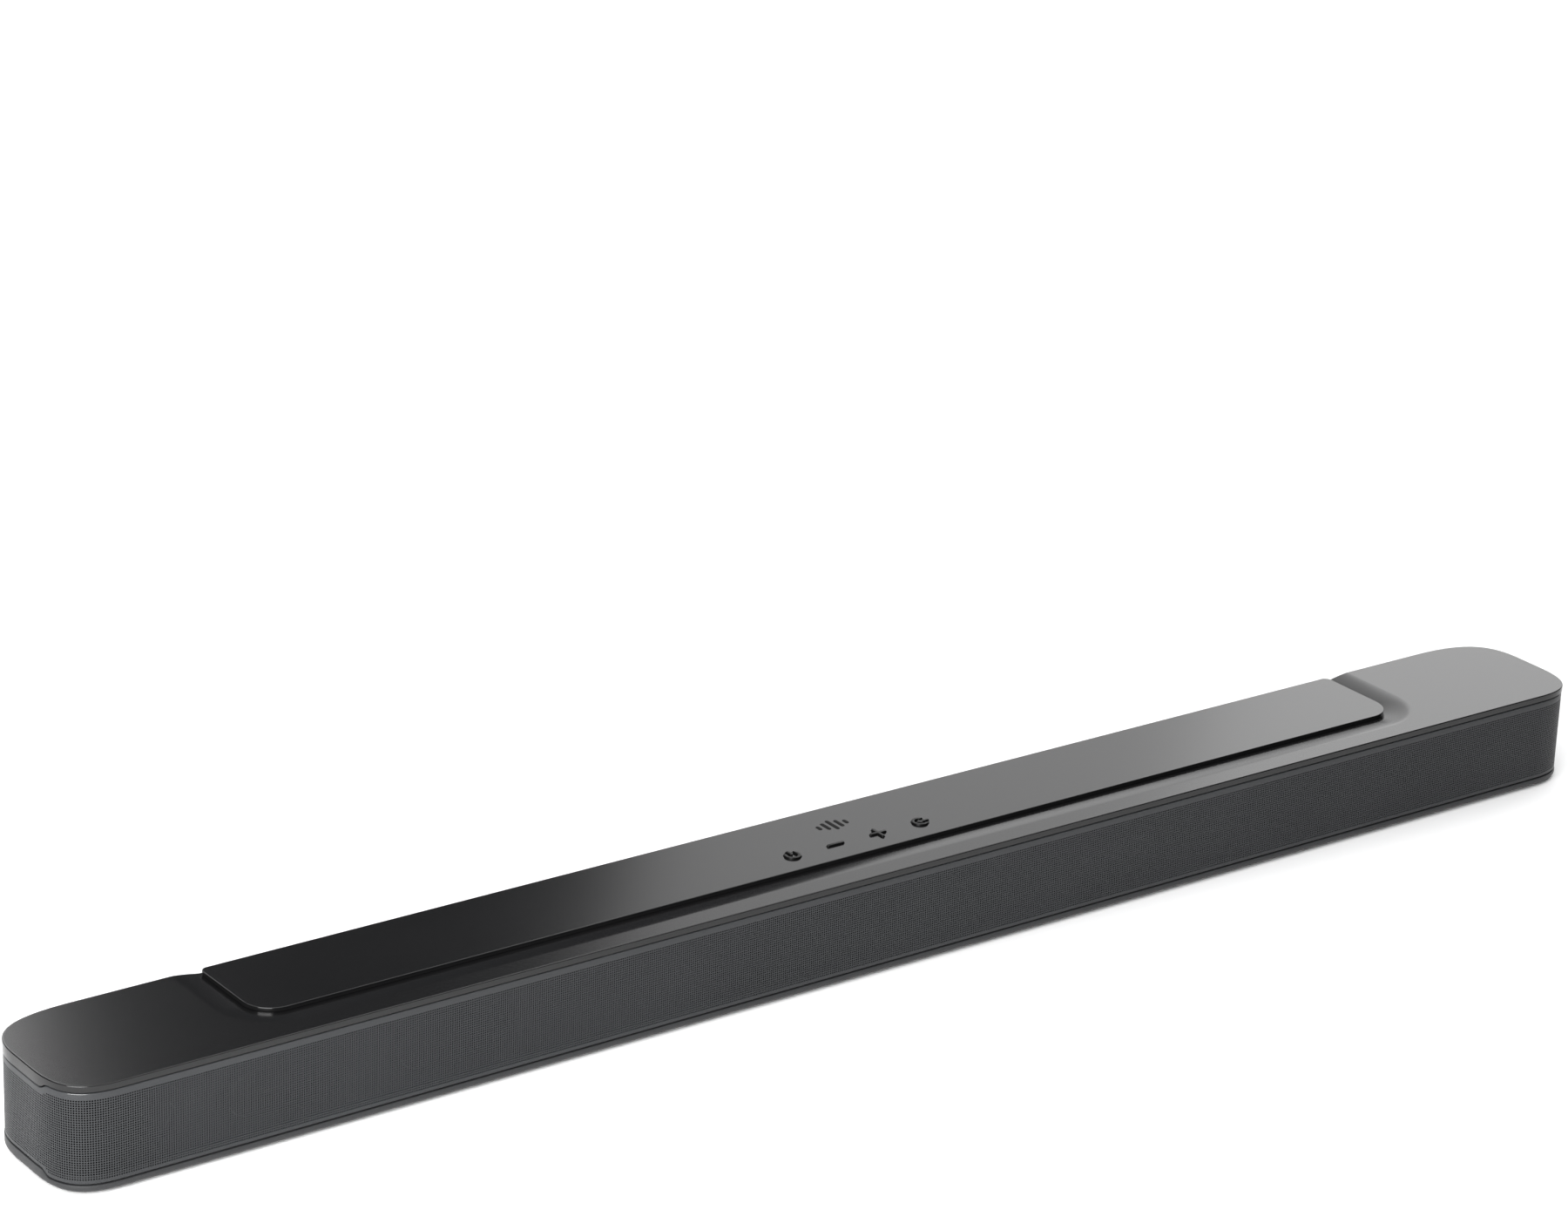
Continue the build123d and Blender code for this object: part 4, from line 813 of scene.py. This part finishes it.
# ------------------------------------------------------------------ build the pieces
MATS = {name: moulded(name, color, rough, **rest) for name, (color, rough, rest) in FINISHES.items()}
polish_above(MATS["grille_metal"], (SKIRT_Z - SEAM - 0.45) * MM, 1.0, 0.12)
SLOT_OF = {s["node"]: s["material_slot"] for s in frame["record"]["subparts"]}
for node, ob in frame["nodes"].items():
    # the screws behind the grille are blackened
    set_material(ob, MATS["black_steel" if node == "driver_screws" else SLOT_OF[node]])


def piece(ob, slot, body, *nodes):
    set_material(ob, MATS[slot])
    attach(ob, body)
    if nodes:
        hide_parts(*nodes)
    return ob


piece(build_top_cover(), "cover_plastic", "bar", "top_cover")
piece(build_plate(), "plate_plastic", "bar", "control_plate")
piece(build_housing(), "housing_plastic", "bar", "bottom_housing")
piece(build_rear_panel(), "rear_plastic", "bar", "rear_panel")
first_sheet, *other_sheets = build_grille()
piece(first_sheet, "grille_metal", "bar", "front_grille")
for sheet in other_sheets:
    piece(sheet, "grille_metal", "bar")
SIGNS = (("power", "power"), ("minus", "volume_down"), ("plus", "volume_up"), ("source", "source"))
for (kind, stem), x in zip(SIGNS, KEY_XS):
    piece(build_key(kind, stem + "_key_cap", x), "key_plastic", stem + "_button", stem + "_key")
for stem, x in (("power", KEY_XS[0]), ("source", KEY_XS[3])):
    piece(build_well(stem + "_key_disc", x), "plate_plastic", stem + "_button")
# the print takes the keys' slot of the record, in a duller black of its own
set_material(piece(build_emblem(), "key_plastic", "bar", "emblem"), MATS["printed_black"])

# ------------------------------------------------------------------ floor
FLOOR_HALF = 14.0        # metres
floor_me = bpy.data.meshes.new("floor")
floor_me.from_pydata([(x * FLOOR_HALF, y * FLOOR_HALF, 0) for x, y in ((-1, -1), (1, -1), (1, 1), (-1, 1))],
                     [], [(0, 1, 2, 3)])
floor = bpy.data.objects.new("floor", floor_me)
bpy.context.scene.collection.objects.link(floor)
set_material(floor, moulded("floor_paper", (0.9, 0.9, 0.9), 0.9, grain=0.0, spread=0.005, scale=100.0, rough_var=0.0))


# ------------------------------------------------------------------ light
def direction(az, el):
    a, e = math.radians(az), math.radians(el)
    return Vector((math.cos(a) * math.cos(e), math.sin(a) * math.cos(e), math.sin(e)))


def area(name, az, el, dist, w, h, power, target=(0, 0, 0.05)):
    """Soft box seen from the bar at azimuth az (from +X towards +Y) and elevation el."""
    li = bpy.data.lights.new(name, "AREA")
    li.shape, li.size, li.size_y, li.energy = "RECTANGLE", w, h, power
    ob = bpy.data.objects.new(name, li)
    pos = Vector(target) + direction(az, el) * dist
    ob.location = pos
    ob.rotation_euler = (pos - Vector(target)).to_track_quat("Z", "Y").to_euler()
    bpy.context.scene.collection.objects.link(ob)
    ob.visible_camera = False


area("overhead", 0, 90, 3.6, 6.0, 6.0, 235)
area("rear_right", 33, 23, 4.0, 3.2, 2.0, 30)
area("rear_far_right", 27, 24, 4.2, 2.6, 2.2, 19)
area("rear_left", 86.0, 26, 4.0, 2.0, 1.6, 32)
area("front_left", 222, 25, 1.4, 1.2, 0.9, 52, target=(-0.45, 0, 0.03))

world = bpy.data.worlds.new("studio")
bpy.context.scene.world = world
world.use_nodes = True
bg = world.node_tree.nodes["Background"]
bg.inputs["Color"].default_value = (0.9, 0.93, 1.0, 1)
bg.inputs["Strength"].default_value = 0.06

scene = bpy.context.scene
scene.view_settings.view_transform = "Standard"
scene.view_settings.look = "None"

# ------------------------------------------------------------------ camera
AZ, EL, ROLL = math.radians(-36.607), math.radians(21.156), math.radians(2.144)
back = Vector((math.sin(AZ) * math.cos(EL), -math.cos(AZ) * math.cos(EL), math.sin(EL)))
level_right = (-back).cross(Vector((0, 0, 1))).normalized()
level_up = level_right.cross(-back)
right = level_right * math.cos(ROLL) + level_up * math.sin(ROLL)
up = level_up * math.cos(ROLL) - level_right * math.sin(ROLL)
cam_data = bpy.data.cameras.new("camera")
cam_data.lens, cam_data.sensor_width, cam_data.sensor_fit = 108.57, 36.0, "HORIZONTAL"
cam_data.clip_start, cam_data.clip_end = 0.05, 50.0
cam = bpy.data.objects.new("camera", cam_data)
pose = Matrix((right, up, back)).transposed().to_4x4()
pose.translation = Vector((-1.37464, -1.77973, 1.05233))
cam.matrix_world = pose
scene.collection.objects.link(cam)
scene.camera = cam
